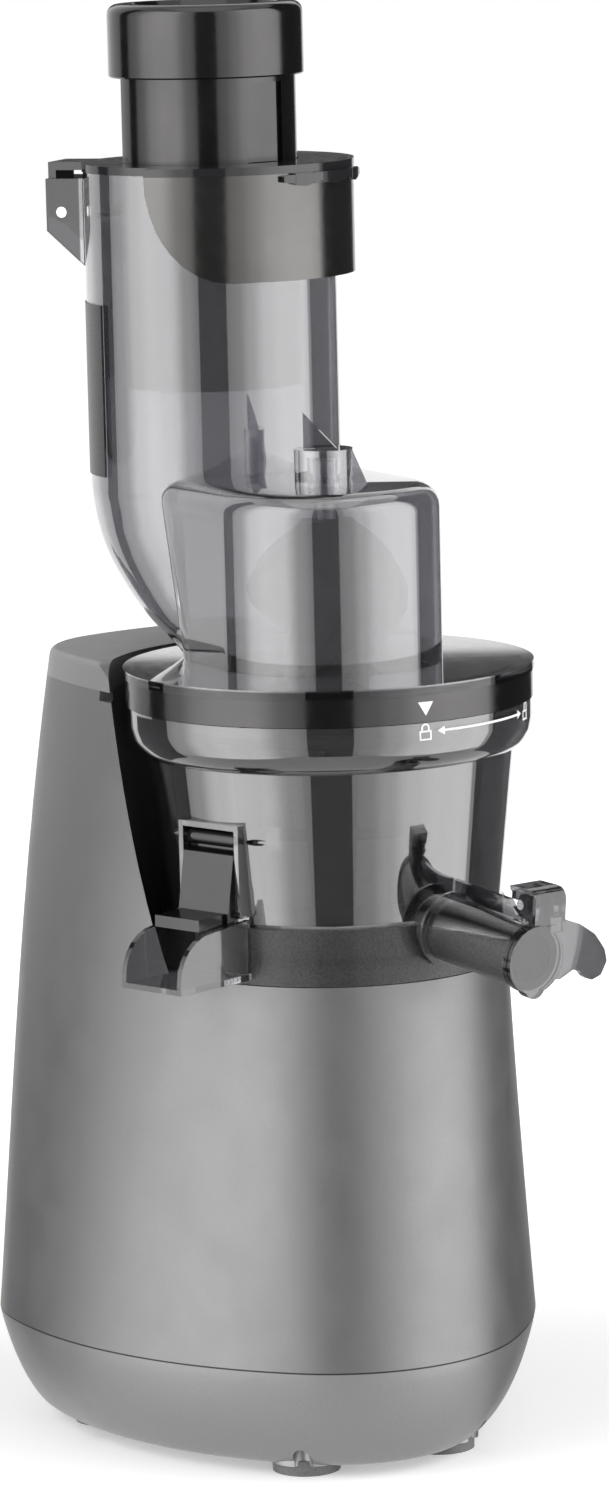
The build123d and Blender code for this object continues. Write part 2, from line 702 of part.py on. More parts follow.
def idler_gear():
    """Compound gear: the wheel of the first stage and the pinion of the second on one hub."""
    bore = IDLER_PIN_R + RUN
    wheel = gear(WHEEL_TEETH, WHEEL_W, bore, FIRST_STAGE_Z, 0.5)
    pinion_z0 = FIRST_STAGE_Z + WHEEL_W / 2
    pinion_w = SECOND_STAGE_Z + WHEEL_W + PINION_EXTRA / 2 - pinion_z0
    wheel += gear(PINION_TEETH, pinion_w, bore, pinion_z0)
    return Pos(0, GEAR_CENTRES, 0) * wheel


def output_gear():
    return gear(WHEEL_TEETH, WHEEL_W, SHAFT_R, SECOND_STAGE_Z, 0.5)


def drive_shaft():
    """Output shaft with the hexagon that drives the auger."""
    shaft = cylinder(SHAFT_R, SECOND_STAGE_Z - 1, DECK_Z + 2)
    shaft += cylinder(SHAFT_R + 2, SECOND_STAGE_Z + WHEEL_W, GEAR_CASE_Z1 - GEAR_CASE_WALL - BEARING_W - GAP)
    return shaft + hexagon(HEX_ACROSS, DECK_Z + 1, HEX_TOP_Z)


def rotor_shaft():
    return cylinder(ROTOR_SHAFT_R, MOTOR_Z0 - FAN_H - 2, FIRST_STAGE_Z + WHEEL_W + PINION_EXTRA / 2)


def rotor_pinion():
    return gear(PINION_TEETH, WHEEL_W + PINION_EXTRA, ROTOR_SHAFT_R, FIRST_STAGE_Z - PINION_EXTRA / 2, 0.0)


def rotor_core():
    z0 = MOTOR_Z0 + (MOTOR_Z1 - MOTOR_Z0 - STATOR_H) / 2
    return tube(ROTOR_R, ROTOR_SHAFT_R, z0, z0 + STATOR_H)


def cooling_fan():
    z0 = MOTOR_Z0 - FAN_H - GAP
    fan = tube(9.0, ROTOR_SHAFT_R, z0, z0 + FAN_H) + tube(FAN_R, ROTOR_SHAFT_R, z0 + FAN_H - 1.6, z0 + FAN_H)
    for i in range(FAN_BLADES):
        blade = block(8.0, FAN_R, -0.8, 0.8, z0, z0 + FAN_H)
        fan += blade.rotate(Axis.Z, 360 / FAN_BLADES * i)
    return fan


def motor_can():
    can = tube(MOTOR_R, MOTOR_R - MOTOR_CAN_WALL, MOTOR_Z0, GEAR_CASE_Z0)
    can += tube(MOTOR_R, BEARING_R, MOTOR_Z0, MOTOR_Z0 + MOTOR_CAN_WALL)
    can += tube(BEARING_R + 1.5, BEARING_R, MOTOR_Z0, MOTOR_Z0 + BEARING_W)
    for i in range(8):
        slot = Pos(CAN_SLOT_AT, 0, MOTOR_Z0) * Box(CAN_SLOT_L, CAN_SLOT_W, 3 * MOTOR_CAN_WALL)
        can -= slot.rotate(Axis.Z, 45 * i)
    return can


def stator_core():
    z0 = MOTOR_Z0 + (MOTOR_Z1 - MOTOR_Z0 - STATOR_H) / 2
    core = tube(MOTOR_R - MOTOR_CAN_WALL, STATOR_BORE_R, z0, z0 + STATOR_H)
    for i in range(12):
        slot = Pos(STATOR_SLOT_AT, 0, z0 + STATOR_H / 2) * Box(STATOR_SLOT_L, STATOR_SLOT_W, STATOR_H + 2)
        core -= slot.rotate(Axis.Z, 30 * i)
    return core


def stator_windings():
    z0 = MOTOR_Z0 + (MOTOR_Z1 - MOTOR_Z0 - STATOR_H) / 2
    rings = []
    for low in (z0 - WINDING_H, z0 + STATOR_H):
        ring = tube(WINDING_R, WINDING_BORE_R, low, low + WINDING_H)
        rings.append(fillet(ring.edges(), WINDING_ROUND))
    return rings


# ================================================================ bowl
def bowl_outer_r(z):
    return BOWL_LOW_R + (BOWL_HIGH_R - BOWL_LOW_R) * (z - DECK_Z - SKIRT_H) / (SHOULDER_Z - DECK_Z - SKIRT_H)


BOWL_Z0 = DECK_Z + GAP
SKIRT_TOP_Z = DECK_Z + SKIRT_H
HUB_TOP_Z = BOWL_FLOOR_Z + HUB_H
AUGER_Z0 = HUB_TOP_Z + SEAL_LIP + GAP
BRUSH_GEAR_Z0 = BOWL_FLOOR_Z + GAP
PULP_INNER_W = PULP_W - 2 * TRAY_WALL


def flange_steps(inset):
    rise = FLANGE_Z - SHOULDER_Z
    run = FLANGE_R - BOWL_HIGH_R
    steps = 4
    turn = [pi / 2 * i / steps for i in range(steps + 1)]
    low = SHOULDER_Z + inset * 0.4
    return [(BOWL_HIGH_R - inset + run * sin(t), low + rise * (1 - cos(t))) for t in turn]


def at_spout(shape):
    """Places a shape drawn with the spout's mouth at the origin and its bore pointing to -Y."""
    mouth_z = SPOUT_ROOT_Z - (SPOUT_END - SPOUT_ROOT_R) * tan(radians(SPOUT_DROP))
    return at_bearing(Pos(0, -SPOUT_END, mouth_z) * Rot(SPOUT_DROP, 0, 0) * shape, SPOUT_BEARING)


def along_y(radius, y0, y1, x=0.0, z=0.0):
    return Pos(x, (y0 + y1) / 2, z) * Rot(90, 0, 0) * Cylinder(radius, y1 - y0)


def across_x(radius, half, y=0.0, z=0.0):
    return Pos(0, y, z) * Rot(0, 90, 0) * Cylinder(radius, 2 * half)


def hinge_rib():
    """Rib on the spout that carries the cap's pin, rounded about the pin, and the web behind it."""
    r = HINGE_EYE_R
    foot = SPOUT_R - SPOUT_WALL
    rib = across_x(r, HINGE_RIB_W / 2, HINGE_PIN_BACK, HINGE_PIN_UP)
    y0, y1 = HINGE_PIN_BACK - r, HINGE_PIN_BACK + r
    rib += block(-HINGE_RIB_W / 2, HINGE_RIB_W / 2, y0, y1, foot - 1.5, HINGE_PIN_UP)
    rise = WEB_TOP - WEB_LOW
    rear = SPOUT_END - BOWL_LOW_R
    web = ((y0 + 1, foot - 1.5), (y0 + 1, WEB_LOW), (y1 + rise, WEB_LOW), (y1 + 2 * rise, WEB_TOP))
    web += ((rear, WEB_TOP), (rear, foot - 1.5))
    return Pos(HINGE_X, 0, 0) * (rib + plate_across(web, WEB_T / 2))


def juice_bowl():
    form = [(SKIRT_R, BOWL_Z0), (SKIRT_R, SKIRT_TOP_Z), (BOWL_LOW_R, SKIRT_TOP_Z + 1.5)]
    form += flange_steps(0.0) + [(FLANGE_R, BOWL_RIM_Z), (0, BOWL_RIM_Z), (0, BOWL_Z0)]
    bowl = turned(form)
    bowl += at_spout(along_y(SPOUT_R, 0, SPOUT_END - SPOUT_ROOT_R + 6))
    bowl += at_spout(hinge_rib())
    ring_y = SPOUT_END - ROOT_RING_AT
    bowl += at_spout(along_y(ROOT_RING_R, ring_y, ring_y + ROOT_RING_W))
    half = PULP_INNER_W / 2 + TRAY_WALL
    low, high = PULP_WINDOW_Z0 - TRAY_WALL, PULP_WINDOW_Z1 + TRAY_WALL
    duct = block(-half, half, -PULP_DUCT_R, -BOWL_LOW_R + 8, low, high)
    bowl += at_bearing(duct, PULP_BEARING)
    hollow = [(BOWL_LOW_R - BOWL_WALL, BOWL_FLOOR_Z)] + flange_steps(BOWL_WALL)
    hollow += [(FLANGE_R - BOWL_WALL, BOWL_RIM_Z + 1), (0, BOWL_RIM_Z + 1), (0, BOWL_FLOOR_Z)]
    bowl -= turned(hollow)
    bowl -= cylinder(SKIRT_R - BOWL_WALL, BOWL_Z0 - 1, BOWL_FLOOR_Z - BOWL_FLOOR)
    bowl += cylinder(HUB_R, BOWL_FLOOR_Z - BOWL_FLOOR, HUB_TOP_Z)
    bowl -= cylinder(HEX_ACROSS / sqrt(3) + 1.2, BOWL_Z0 - 1, HUB_TOP_Z + 1)
    bowl -= at_spout(along_y(SPOUT_R - SPOUT_WALL, -1, SPOUT_END - SPOUT_ROOT_R + 12))
    half = PULP_INNER_W / 2
    window = block(-half, half, -PULP_DUCT_R - 1, -BOWL_LOW_R + 12, PULP_WINDOW_Z0, PULP_WINDOW_Z1)
    bowl -= at_bearing(window, PULP_BEARING)
    bowl -= at_spout(Pos(HINGE_X, 0, 0) * across_x(HINGE_PIN_R, HINGE_W, HINGE_PIN_BACK, HINGE_PIN_UP))
    bowl -= at_bearing(across_x(GATE_PIN_R, 30, -GATE_PIVOT_R, GATE_PIVOT_Z), PULP_BEARING)
    return bowl


def bowl_shaft_seal():
    """Rubber sleeve on the hub that wipes the auger's neck."""
    return tube(HUB_R, HEX_ACROSS / sqrt(3) + 1.2, HUB_TOP_Z, HUB_TOP_Z + SEAL_LIP)


def pulp_tray():
    half = PULP_INNER_W / 2 + TRAY_WALL
    top, front = TRAY_Z0 + TRAY_H, TRAY_END_R
    steps = 6
    sweep = []
    for i in range(steps + 1):
        t = pi / 2 * i / steps
        sweep.append((-front + TRAY_SWEEP * (1 - cos(t)), TRAY_Z0 + 4 + (TRAY_H - TRAY_FALL - 4) * sin(t)))
    side = [(-SKIRT_R + 10, TRAY_Z0), (-front, TRAY_Z0)] + sweep + [(-SKIRT_R + 10, top)]
    tray = plate_across(side, half)
    tray -= block(-half + TRAY_WALL, half - TRAY_WALL, -front - 1, 0, TRAY_Z0 + TRAY_WALL, top + 1)
    tray = at_bearing(tray, PULP_BEARING) - cylinder(SKIRT_R, TRAY_Z0 - 1, top + 1)
    return tray


def pulp_gate():
    """Sloping pressure plate in the pulp window, hung from a pin, with a shelf at its foot."""
    half = PULP_INNER_W / 2 - GAP
    low = PULP_WINDOW_Z0 + GAP
    duct = PULP_DUCT_R + 2 * GAP
    foot = GATE_SHELF_Z
    profile = (
        (-GATE_PIVOT_R + 2.5, GATE_PIVOT_Z), (-GATE_PIVOT_R + 2.0, low), (-duct, low), (-duct, foot),
        (-GATE_SHELF_R, foot), (-GATE_SHELF_R, foot + 4.2), (-GATE_PANEL_LOW_R, foot + 4.6),
        (-GATE_PANEL_TOP_R, GATE_PIVOT_Z - 4.8), (-GATE_PIVOT_R - 1.0, GATE_PIVOT_Z - 3.6),
        (-GATE_PIVOT_R - 1.0, GATE_PIVOT_Z),
    )
    gate = plate_across(profile, half)
    gate += across_x(3.0, half, -GATE_PIVOT_R, GATE_PIVOT_Z)
    gate -= across_x(GATE_PIN_R + RUN, half + 1, -GATE_PIVOT_R, GATE_PIVOT_Z)
    for side in (-1, 1):
        x0, x1 = sorted((side * GATE_SHELF_HALF, side * (half + 1)))
        gate -= block(x0, x1, -GATE_SHELF_R - 1, -GATE_PANEL_LOW_R - 0.5, foot - 1, foot + 5)
    return at_bearing(gate, PULP_BEARING)


def pulp_gate_pin():
    return at_bearing(across_x(GATE_PIN_R, PULP_W / 2, -GATE_PIVOT_R, GATE_PIVOT_Z), PULP_BEARING)


def spout_cap():
    """Drip stop: disc with a grooved rim and a lower lip, hook block over the pin and finger ear."""
    y1, y0 = -GAP, -GAP - SPOUT_CAP_T
    disc = along_y(SPOUT_CAP_R, y0, y1)
    disc -= along_y(SPOUT_CAP_R + 1, y0 + 1.6, y0 + 2.2) - along_y(SPOUT_CAP_R - 0.6, y0 + 1.5, y0 + 2.3)
    disc += along_y(4.5, y0, y1, 0.0, 4.5 - CAP_LIP_DROP)
    return at_spout(disc + finger_ear(y0) + hook_block(y0, y1))


def hook_block(y0, y1):
    """Block with a rounded front edge and a lip that curls over the pin from behind."""
    half = HINGE_W / 2
    foot = SPOUT_CAP_R - 4
    front = y0 + 0.8
    top = HINGE_PIN_UP + HINGE_EYE_R + GAP + HOOK_WALL
    rear = HINGE_PIN_BACK + 4.6
    hook = (
        (front, foot), (front, top - 4), (front + 0.4, top - 2.4), (front + 1.4, top - 1), (front + 3, top - 0.2),
        (front + 5, top), (rear + 1.4, top - 0.6), (rear + 1, top - 2.0), (rear, top - 2.6),
        (rear, HINGE_PIN_UP - 1.0), (HINGE_PIN_BACK, HINGE_PIN_UP - 4.0), (y1, HINGE_PIN_UP - 4.8), (y1, foot),
    )
    block_form = plate_across(hook, half)
    room = HINGE_RIB_W / 2 + GAP
    block_form -= block(-room, room, y1, rear + 3, foot - 1, top - HOOK_WALL)
    block_form -= across_x(HINGE_PIN_R + RUN, half + 1, HINGE_PIN_BACK, HINGE_PIN_UP)
    mouth = HINGE_PIN_R * 0.8
    slot_z = (HINGE_PIN_UP - mouth, HINGE_PIN_UP + mouth)
    block_form -= block(-half - 1, half + 1, HINGE_PIN_BACK, rear + 3, *slot_z)
    return Pos(HINGE_X, 0, 0) * block_form


def finger_ear(y0):
    """Ear beside the disc that a finger lifts: part of a shallow dome, in one with the disc."""
    edge = make_face(Polyline(EAR_EDGE + EAR_EDGE[:1]))
    outline = extrude(Plane.XZ * edge, 40, both=True)
    centre = y0 + 0.4 + sqrt(EAR_DOME_R ** 2 - SPOUT_CAP_R ** 2)
    shell = Sphere(EAR_DOME_R) - Sphere(EAR_DOME_R - EAR_T)
    ear = Pos(0, centre, 0) * shell & outline
    return ear - along_y(SPOUT_CAP_R - 1.0, y0 - 5, y0 + 10)


def spout_cap_pin():
    return at_spout(Pos(HINGE_X, 0, 0) * across_x(HINGE_PIN_R, HINGE_W / 2, HINGE_PIN_BACK, HINGE_PIN_UP))


def spout_cap_seal():
    return at_spout(along_y(SPOUT_R - SPOUT_WALL - 2 * GAP, -GAP, PLUG_DEPTH))


def strainer_r(z):
    share = (z - STRAINER_Z0) / (STRAINER_Z1 - STRAINER_Z0)
    return STRAINER_LOW_R + share * (STRAINER_HIGH_R - STRAINER_LOW_R)


def strainer_windows(z0, z1):
    half = pi * STRAINER_LOW_R / STRAINER_WINDOWS - STRAINER_BAR / 2
    window = block(-half, half, -2 * STRAINER_HIGH_R, 0, z0, z1)
    return [at_bearing(window, 360 / STRAINER_WINDOWS * i) for i in range(STRAINER_WINDOWS)]


def strainer_frame():
    z0, z1 = STRAINER_Z0, STRAINER_Z1
    high, rim = strainer_r(z1), strainer_r(z1) + STRAINER_RIM
    wall, t = STRAINER_WALL, STRAINER_RIM_T
    frame = turned([
        (strainer_r(z0), z0), (high, z1), (rim, z1), (rim, z1 + t), (high - wall, z1 + t), (high - wall, z1),
        (strainer_r(z0 + wall) - wall, z0 + wall), (STRAINER_HOLE_R, z0 + wall), (STRAINER_HOLE_R, z0),
    ])
    middle = (z0 + z1) / 2
    bar = STRAINER_BAR / 2
    windows = strainer_windows(z0 + bar + wall, middle - bar / 2)
    windows += strainer_windows(middle + bar / 2, z1 - bar)
    for window in windows:
        frame -= window
    return frame


def strainer_screen():
    """Fine screen inside the frame's windows."""
    z0, z1 = STRAINER_Z0 + 3, STRAINER_Z1
    out0, out1 = strainer_r(z0) - STRAINER_WALL - SCREEN_FIT, strainer_r(z1) - STRAINER_WALL - SCREEN_FIT
    return turned([(out0, z0), (out1, z1), (out1 - SCREEN_T, z1), (out0 - SCREEN_T, z0)])


def strainer_support():
    """Three feet under the strainer that keep it off the bowl's floor."""
    feet = []
    for bearing in STRAINER_FEET:
        foot = cylinder(STRAINER_FOOT_R, BOWL_FLOOR_Z, STRAINER_Z0, 0, -STRAINER_FOOT_AT)
        feet.append(at_bearing(foot, bearing))
    return feet


def ring_outline(teeth):
    pitch_r = GEAR_MODULE * teeth / 2
    step = 2 * pi / teeth
    outline = []
    for i in range(teeth):
        middle = pi / 2 + (i + 0.5) * step
        tip, root = pitch_r - 0.9 * GEAR_MODULE, pitch_r + 1.3 * GEAR_MODULE
        for radius, share in ((tip, -0.36), (root, -0.22), (root, 0.22), (tip, 0.36)):
            angle = middle + share * step
            outline.append((radius * cos(angle), radius * sin(angle), 0))
    return make_face(Polyline(*outline, close=True))


# ---------------------------------------------------------------- gears under the strainer
BRUSH_IDLER_AT = GEAR_MODULE * (SUN_TEETH + BRUSH_IDLER_TEETH) / 2 + MESH_GAP
RING_R = GEAR_MODULE * RING_TEETH / 2


def brush_idler():
    """Idler that passes the auger's turning on to the brush's ring gear."""
    wheel = gear(BRUSH_IDLER_TEETH, BRUSH_GEAR_W, IDLER_PIN_R + RUN, BRUSH_GEAR_Z0, 0.5)
    return Pos(0, BRUSH_IDLER_AT, 0) * wheel


def brush_idler_pin():
    """Pin on the bowl's floor that carries the idler."""
    return cylinder(IDLER_PIN_R, BOWL_FLOOR_Z, BRUSH_GEAR_Z0 + BRUSH_GEAR_W + 0.8, 0, BRUSH_IDLER_AT)


def brush_r(z):
    return strainer_r(z) + BRUSH_GAP


def brush_holder():
    """Cage with an internal ring gear at its foot that turns round the strainer."""
    z0, z1 = BOWL_FLOOR_Z + GAP, BRUSH_Z0
    outer = brush_r(BRUSH_Z0) + BRUSH_WALL
    foot = cylinder(outer, z0, z1 + 4) - cylinder(RING_R + 1.3, z0 - 1, z1 + 5)
    gear_space = Pos(0, 0, z0 - 1) * extrude(ring_outline(RING_TEETH), z1 - z0)
    teeth = cylinder(RING_R + 1.4, z0, z0 + BRUSH_GEAR_W + 1.0) - gear_space
    cage = foot + teeth
    low, high = BRUSH_Z0, BRUSH_Z1
    wall = turned([
        (brush_r(low), low), (brush_r(low) + BRUSH_WALL, low),
        (brush_r(high) + BRUSH_WALL, high), (brush_r(high), high),
    ])
    for i in range(BRUSH_ARMS):
        width = 2 * pi * brush_r(low) / BRUSH_ARMS - 9.0
        window = block(-width / 2, width / 2, -2 * FLANGE_R, 0, low + 4, high - 5)
        wall -= window.rotate(Axis.Z, 360 / BRUSH_ARMS * i)
    return cage + wall


def brush_wipers():
    """Silicone blades on every other arm of the cage, reaching to just inside the bowl's wall."""
    blades = []
    low, high = BRUSH_Z0 + 6, BRUSH_Z1 - 2
    for i in range(0, BRUSH_ARMS, 2):
        inner_low, inner_high = brush_r(low) + BRUSH_WALL, brush_r(high) + BRUSH_WALL
        short = BOWL_WALL + 3 * GAP
        outer_low, outer_high = bowl_outer_r(low) - short, bowl_outer_r(high) - short
        profile = ((-inner_low, low), (-outer_low, low), (-outer_high, high), (-inner_high, high))
        blade = plate_across(profile, WIPER_T / 2)
        blades.append(blade.rotate(Axis.Z, 360 / BRUSH_ARMS * (i + 0.5)))
    return blades


def auger_core_r(z):
    share = (z - AUGER_Z0) / (AUGER_DRUM_Z1 - AUGER_Z0)
    return AUGER_CORE_LOW_R + share * (AUGER_CORE_HIGH_R - AUGER_CORE_LOW_R)


def auger_drum_r(z):
    return strainer_r(z) - STRAINER_WALL - SCREEN_T - AUGER_CLEAR


def auger_blade_r(z):
    """The upper blade fills the dome's foot and narrows to the top."""
    share = (z - AUGER_DRUM_Z1) / (AUGER_BLADE_Z1 - AUGER_DRUM_Z1)
    return AUGER_BLADE_R * sqrt(max(0.1, 1 - 0.9 * share * share))


def auger():
    """Screw with a tapered drum, three flights in the strainer and a large single blade in the dome."""
    drum = twisted(auger_drum_r, AUGER_Z0, STRAINER_Z1, AUGER_TWIST, AUGER_FLIGHTS, auger_core_r)
    drum += turned([
        (0, AUGER_Z0), (auger_core_r(AUGER_Z0), AUGER_Z0), (auger_core_r(AUGER_DRUM_Z1), AUGER_DRUM_Z1),
        (9.0, AUGER_BLADE_Z1), (0, AUGER_BLADE_Z1),
    ])
    blade = twisted(auger_blade_r, STRAINER_Z1 - 1, AUGER_BLADE_Z1, BLADE_TWIST, 2, lambda z: 8.0, 12, 0.05)
    drum += blade
    drum += cylinder(AUGER_NECK_R, BRUSH_GEAR_Z0, AUGER_Z0 + 1)
    drum -= cylinder(HUB_R + GAP, BRUSH_GEAR_Z0 - 1, AUGER_Z0)
    drum -= cylinder(SOCKET_R, AUGER_Z0 - 2, HEX_TOP_Z + 3)
    return drum - cylinder(AUGER_PIN_R, AUGER_BLADE_Z1 - 15, AUGER_BLADE_Z1 + 1)


def auger_gear():
    return gear(SUN_TEETH, BRUSH_GEAR_W, AUGER_NECK_R, BRUSH_GEAR_Z0, 0.0)


def auger_socket():
    """Steel sleeve in the auger's foot with the hexagonal socket."""
    sleeve = cylinder(SOCKET_R, AUGER_Z0, HEX_TOP_Z + 3)
    return sleeve - hexagon(HEX_ACROSS + 2 * GAP, AUGER_Z0 - 1, HEX_TOP_Z + 1)


def auger_pin():
    return cylinder(AUGER_PIN_R, AUGER_BLADE_Z1 - 15, DOME_TOP_Z + BOSS_H - 4)


# ================================================================ lid and chute
def elbow_form(inset):
    faces = []
    for z, y, radius in ELBOW:
        faces.append(Pos(0, y, z) * Circle(radius - inset))
    return loft(faces)


def dome_plan(inset, z):
    """Dome in plan: half round in front, straight flanks and rounded corners towards the chute."""
    half = DOME_R - inset
    share = (z - LID_TOP_Z) / (DOME_TOP_Z - LID_TOP_Z)
    back_y = DOME_BACK_LOW_Y + share * (DOME_BACK_HIGH_Y - DOME_BACK_LOW_Y) - inset
    plan = Circle(half) + Pos(0, back_y / 2, 0) * Rectangle(2 * half, back_y)
    corner = DOME_BACK_CORNER - 0.01
    plan += Pos(0, back_y, 0) * RectangleRounded(2 * half, 2 * DOME_BACK_CORNER, corner)
    return Pos(0, 0, z) * plan


def dome_form(inset):
    """The flanks run further back at the dome's top than at the lid; the upper edge is rounded."""
    steps = 6
    rounding = DOME_ROUND - min(inset, DOME_ROUND / 2)
    top = DOME_TOP_Z - inset
    sections = [dome_plan(inset, LID_TOP_Z - LID_T - inset)]
    for i in range(steps + 1):
        turn = pi / 2 * i / steps * 0.98
        sections.append(dome_plan(inset + rounding * (1 - cos(turn)), top - rounding * (1 - sin(turn))))
    return loft(sections, ruled=True)


def chute_form(inset, top):
    return Pos(0, CHUTE_Y, 0) * cylinder(CHUTE_R - inset, ELBOW[-1][0], top)


def hopper_forms(inset, top):
    """Outsides or insides of the elbow, the chute and the dome."""
    return elbow_form(inset), chute_form(inset, top), dome_form(inset)


def lid_chute():
    """Clear lid in one moulding: disc, dome, elbow and chute, with a plug that centres it in the bowl."""
    lid = cylinder(LID_R, LID_TOP_Z - LID_T, LID_TOP_Z)
    for form in hopper_forms(0.0, CHUTE_TOP_Z):
        lid += form
    inner = FLANGE_R - BOWL_WALL - GAP
    lid += tube(inner, inner - PLUG_WALL, PLUG_Z0, LID_TOP_Z - LID_T)
    lid -= tube(inner + 1, inner - LID_SEAL_H, PLUG_Z0 + 1.5, PLUG_Z0 + 1.5 + LID_SEAL_H)
    for form in hopper_forms(CLEAR_WALL, CHUTE_TOP_Z + 1):
        lid -= form
    lid -= cylinder(AUGER_PIN_R + 1.0, DOME_TOP_Z - DOME_ROUND, DOME_TOP_Z + 1)
    for side in (-1, 1):
        lid += hinge_cheek(side)
    return lid - hopper_pin(0.0) - flap_pin_form(0.0)


def hinge_cheek(side):
    """One of the two cheeks on the chute that hold the hopper cover's hinge pin."""
    profile = (
        (-CHUTE_R + 1.5, BRACKET_LOW_Z), (-BRACKET_R, BRACKET_MID_Z), (-BRACKET_R, CHUTE_TOP_Z - 3),
        (-CHUTE_R + 1.5, CHUTE_TOP_Z - 3),
    )
    offset = side * (COVER_KNUCKLE_W / 2 + GAP + BRACKET_CHEEK / 2)
    cheek = Pos(offset, 0, 0) * plate_across(profile, BRACKET_CHEEK / 2)
    room = cylinder(CHUTE_R - 1, BRACKET_LOW_Z - 1, CHUTE_TOP_Z + 1)
    return behind(at_bearing(cheek, HINGE_BEARING) - room)


def hopper_pin(grow):
    half = COVER_KNUCKLE_W / 2 + GAP + BRACKET_CHEEK
    return behind(at_bearing(across_x(COVER_PIN_R + grow, half, -COVER_PIN_AT, COVER_PIN_Z), HINGE_BEARING))


def lid_seal():
    """Silicone ring in the groove of the lid's plug."""
    outer = FLANGE_R - BOWL_WALL - GAP
    return tube(outer, outer - LID_SEAL_H, PLUG_Z0 + 1.5, PLUG_Z0 + 1.5 + LID_SEAL_H)


def lid_ring():
    """Glossy ring under the lid's lip that locks onto the bowl's rim."""
    z1 = LID_TOP_Z - LID_T
    return tube(LID_RING_R, LID_RING_R - LID_RING_WALL + 0.6, z1 - LID_RING_H, z1)


def bearing_boss():
    """Cap on the dome that holds the auger's top pin, with a gusset and an upright fin."""
    z0, z1 = DOME_TOP_Z, DOME_TOP_Z + BOSS_H
    boss = cylinder(BOSS_R, z0, z1)
    gusset = plate_across(((0, z0), (-BOSS_R - 5.0, z0), (-BOSS_R, z1 - 1), (0, z1 - 1)), 2.0)
    boss += gusset.rotate(Axis.Z, FIN_BEARING + 90)
    fin = plate_across(((BOSS_R - 3.5, z1 - 1), (BOSS_R - 3.5, z1 + FIN_H), (-BOSS_R + 5, z1 - 1)), FIN_T / 2)
    boss += fin.rotate(Axis.Z, FIN_BEARING + 90)
    return boss - cylinder(AUGER_PIN_R + RUN, z0 - 1, z1 - 3)


# ================================================================ hopper cover
def pusher_plan(grow=0.0):
    plan = Circle(PUSHER_R + grow)
    reach = 2 * PUSHER_R
    cut = Pos(0, -PUSHER_FLAT - grow - reach / 2, 0) * Rectangle(2 * reach, reach)
    return Rot(0, 0, HINGE_BEARING) * (plan - cut)


def hopper_cover():
    """Top cover of the chute with the hole for the pusher, its rim and its hinge arm."""
    z0, z1 = CHUTE_TOP_Z, CHUTE_TOP_Z + COVER_T
    cover = cylinder(CHUTE_R + 0.4, z0, z1)
    cover += ring_sector(COVER_RIM_R, CHUTE_R - 2, z0, z1, LATCH_BEARING, COLLAR_HALF)
    half = COVER_KNUCKLE_W / 2
    arm = block(-half, half, -BRACKET_R, -CHUTE_R + 4, z0, z1)
    drop = block(-half, half, -BRACKET_R, -BRACKET_R + COVER_T, COVER_PIN_Z, z0 + 1)
    hub = across_x(COVER_PIN_R + 2.2, half, -COVER_PIN_AT, COVER_PIN_Z)
    web = block(-half, half, -BRACKET_R, -COVER_PIN_AT, COVER_PIN_Z - 2, COVER_PIN_Z + 2)
    cover += at_bearing(arm + drop + hub + web, HINGE_BEARING)
    cover -= Pos(0, 0, z0 - 1) * extrude(pusher_plan(2 * GAP), COVER_T + 2)
    return behind(cover) - hopper_pin(0.0)


def hopper_hinge_pin():
    return hopper_pin(0.0)


def corner_cut(mirrored):
    """Tool for the collar's sweeping lower corner: everything outside a quarter ellipse."""
    height = CHUTE_TOP_Z - COLLAR_Z0
    steps = 8
    curve = []
    for i in range(steps + 1):
        t = pi / 2 * i / steps
        curve.append((-COLLAR_SWEEP_W * sin(t), 0, COLLAR_Z0 + height * (1 - cos(t))))
    low, high, far = COLLAR_Z0 - 1, CHUTE_TOP_Z + 1, -2 * COLLAR_R
    outline = [(0, 0, low)] + curve + [(-COLLAR_SWEEP_W, 0, high), (far, 0, high), (far, 0, low)]
    tool = extrude(make_face(Polyline(*outline, close=True)), 2 * COLLAR_R, dir=(0, -1, 0))
    tool = Pos(COLLAR_SWEEP_W / 2, 0, 0) * tool
    turn = -COLLAR_HALF + degrees(COLLAR_SWEEP_W / 2 / COLLAR_R)
    tool = tool.rotate(Axis.Z, turn)
    return mirror(tool, about=Plane.YZ) if mirrored else tool


def chute_collar():
    """Shell round the chute's mouth, swept up at both ends towards the hinge."""
    outer = ring_sector(COLLAR_R, CHUTE_R, COLLAR_Z0, CHUTE_TOP_Z, 0.0, COLLAR_HALF)
    pocket = tube(COLLAR_R - COLLAR_WALL, CHUTE_R - 1, COLLAR_Z0 + COLLAR_WALL, CHUTE_TOP_Z - COLLAR_WALL)
    collar = outer - pocket
    collar += tube(CHUTE_R + COLLAR_WALL, CHUTE_R, COLLAR_Z0, CHUTE_TOP_Z) & ring_sector(
        COLLAR_R, CHUTE_R - 1, COLLAR_Z0, CHUTE_TOP_Z, 0.0, COLLAR_HALF - 1
    )
    collar -= corner_cut(False)
    collar -= corner_cut(True)
    return behind(at_bearing(collar, LATCH_BEARING))


def cover_latch():
    """Finger tab under the cover's rim, with a wavy front edge."""
    z1 = CHUTE_TOP_Z
    tab = ring_sector(COLLAR_R + LATCH_OUT, COLLAR_R, z1 - LATCH_H, z1, 0.0, LATCH_HALF)
    for i in (-1, 1):
        angle = radians(LATCH_HALF / 2 * i)
        reach = COLLAR_R + LATCH_OUT + 4.0
        tab -= cylinder(5.0, z1 - LATCH_H - 1, z1 + 1, reach * sin(angle), -reach * cos(angle))
    return behind(at_bearing(tab, LATCH_VIEW_BEARING))


def information_plate():
    """Blank dark plate on the chute's side."""
    inner = CHUTE_R + LABEL_FIT
    plate = ring_sector(inner + LABEL_T, inner, LABEL_Z0, LABEL_Z1, LABEL_BEARING, LABEL_HALF)
    return behind(plate)


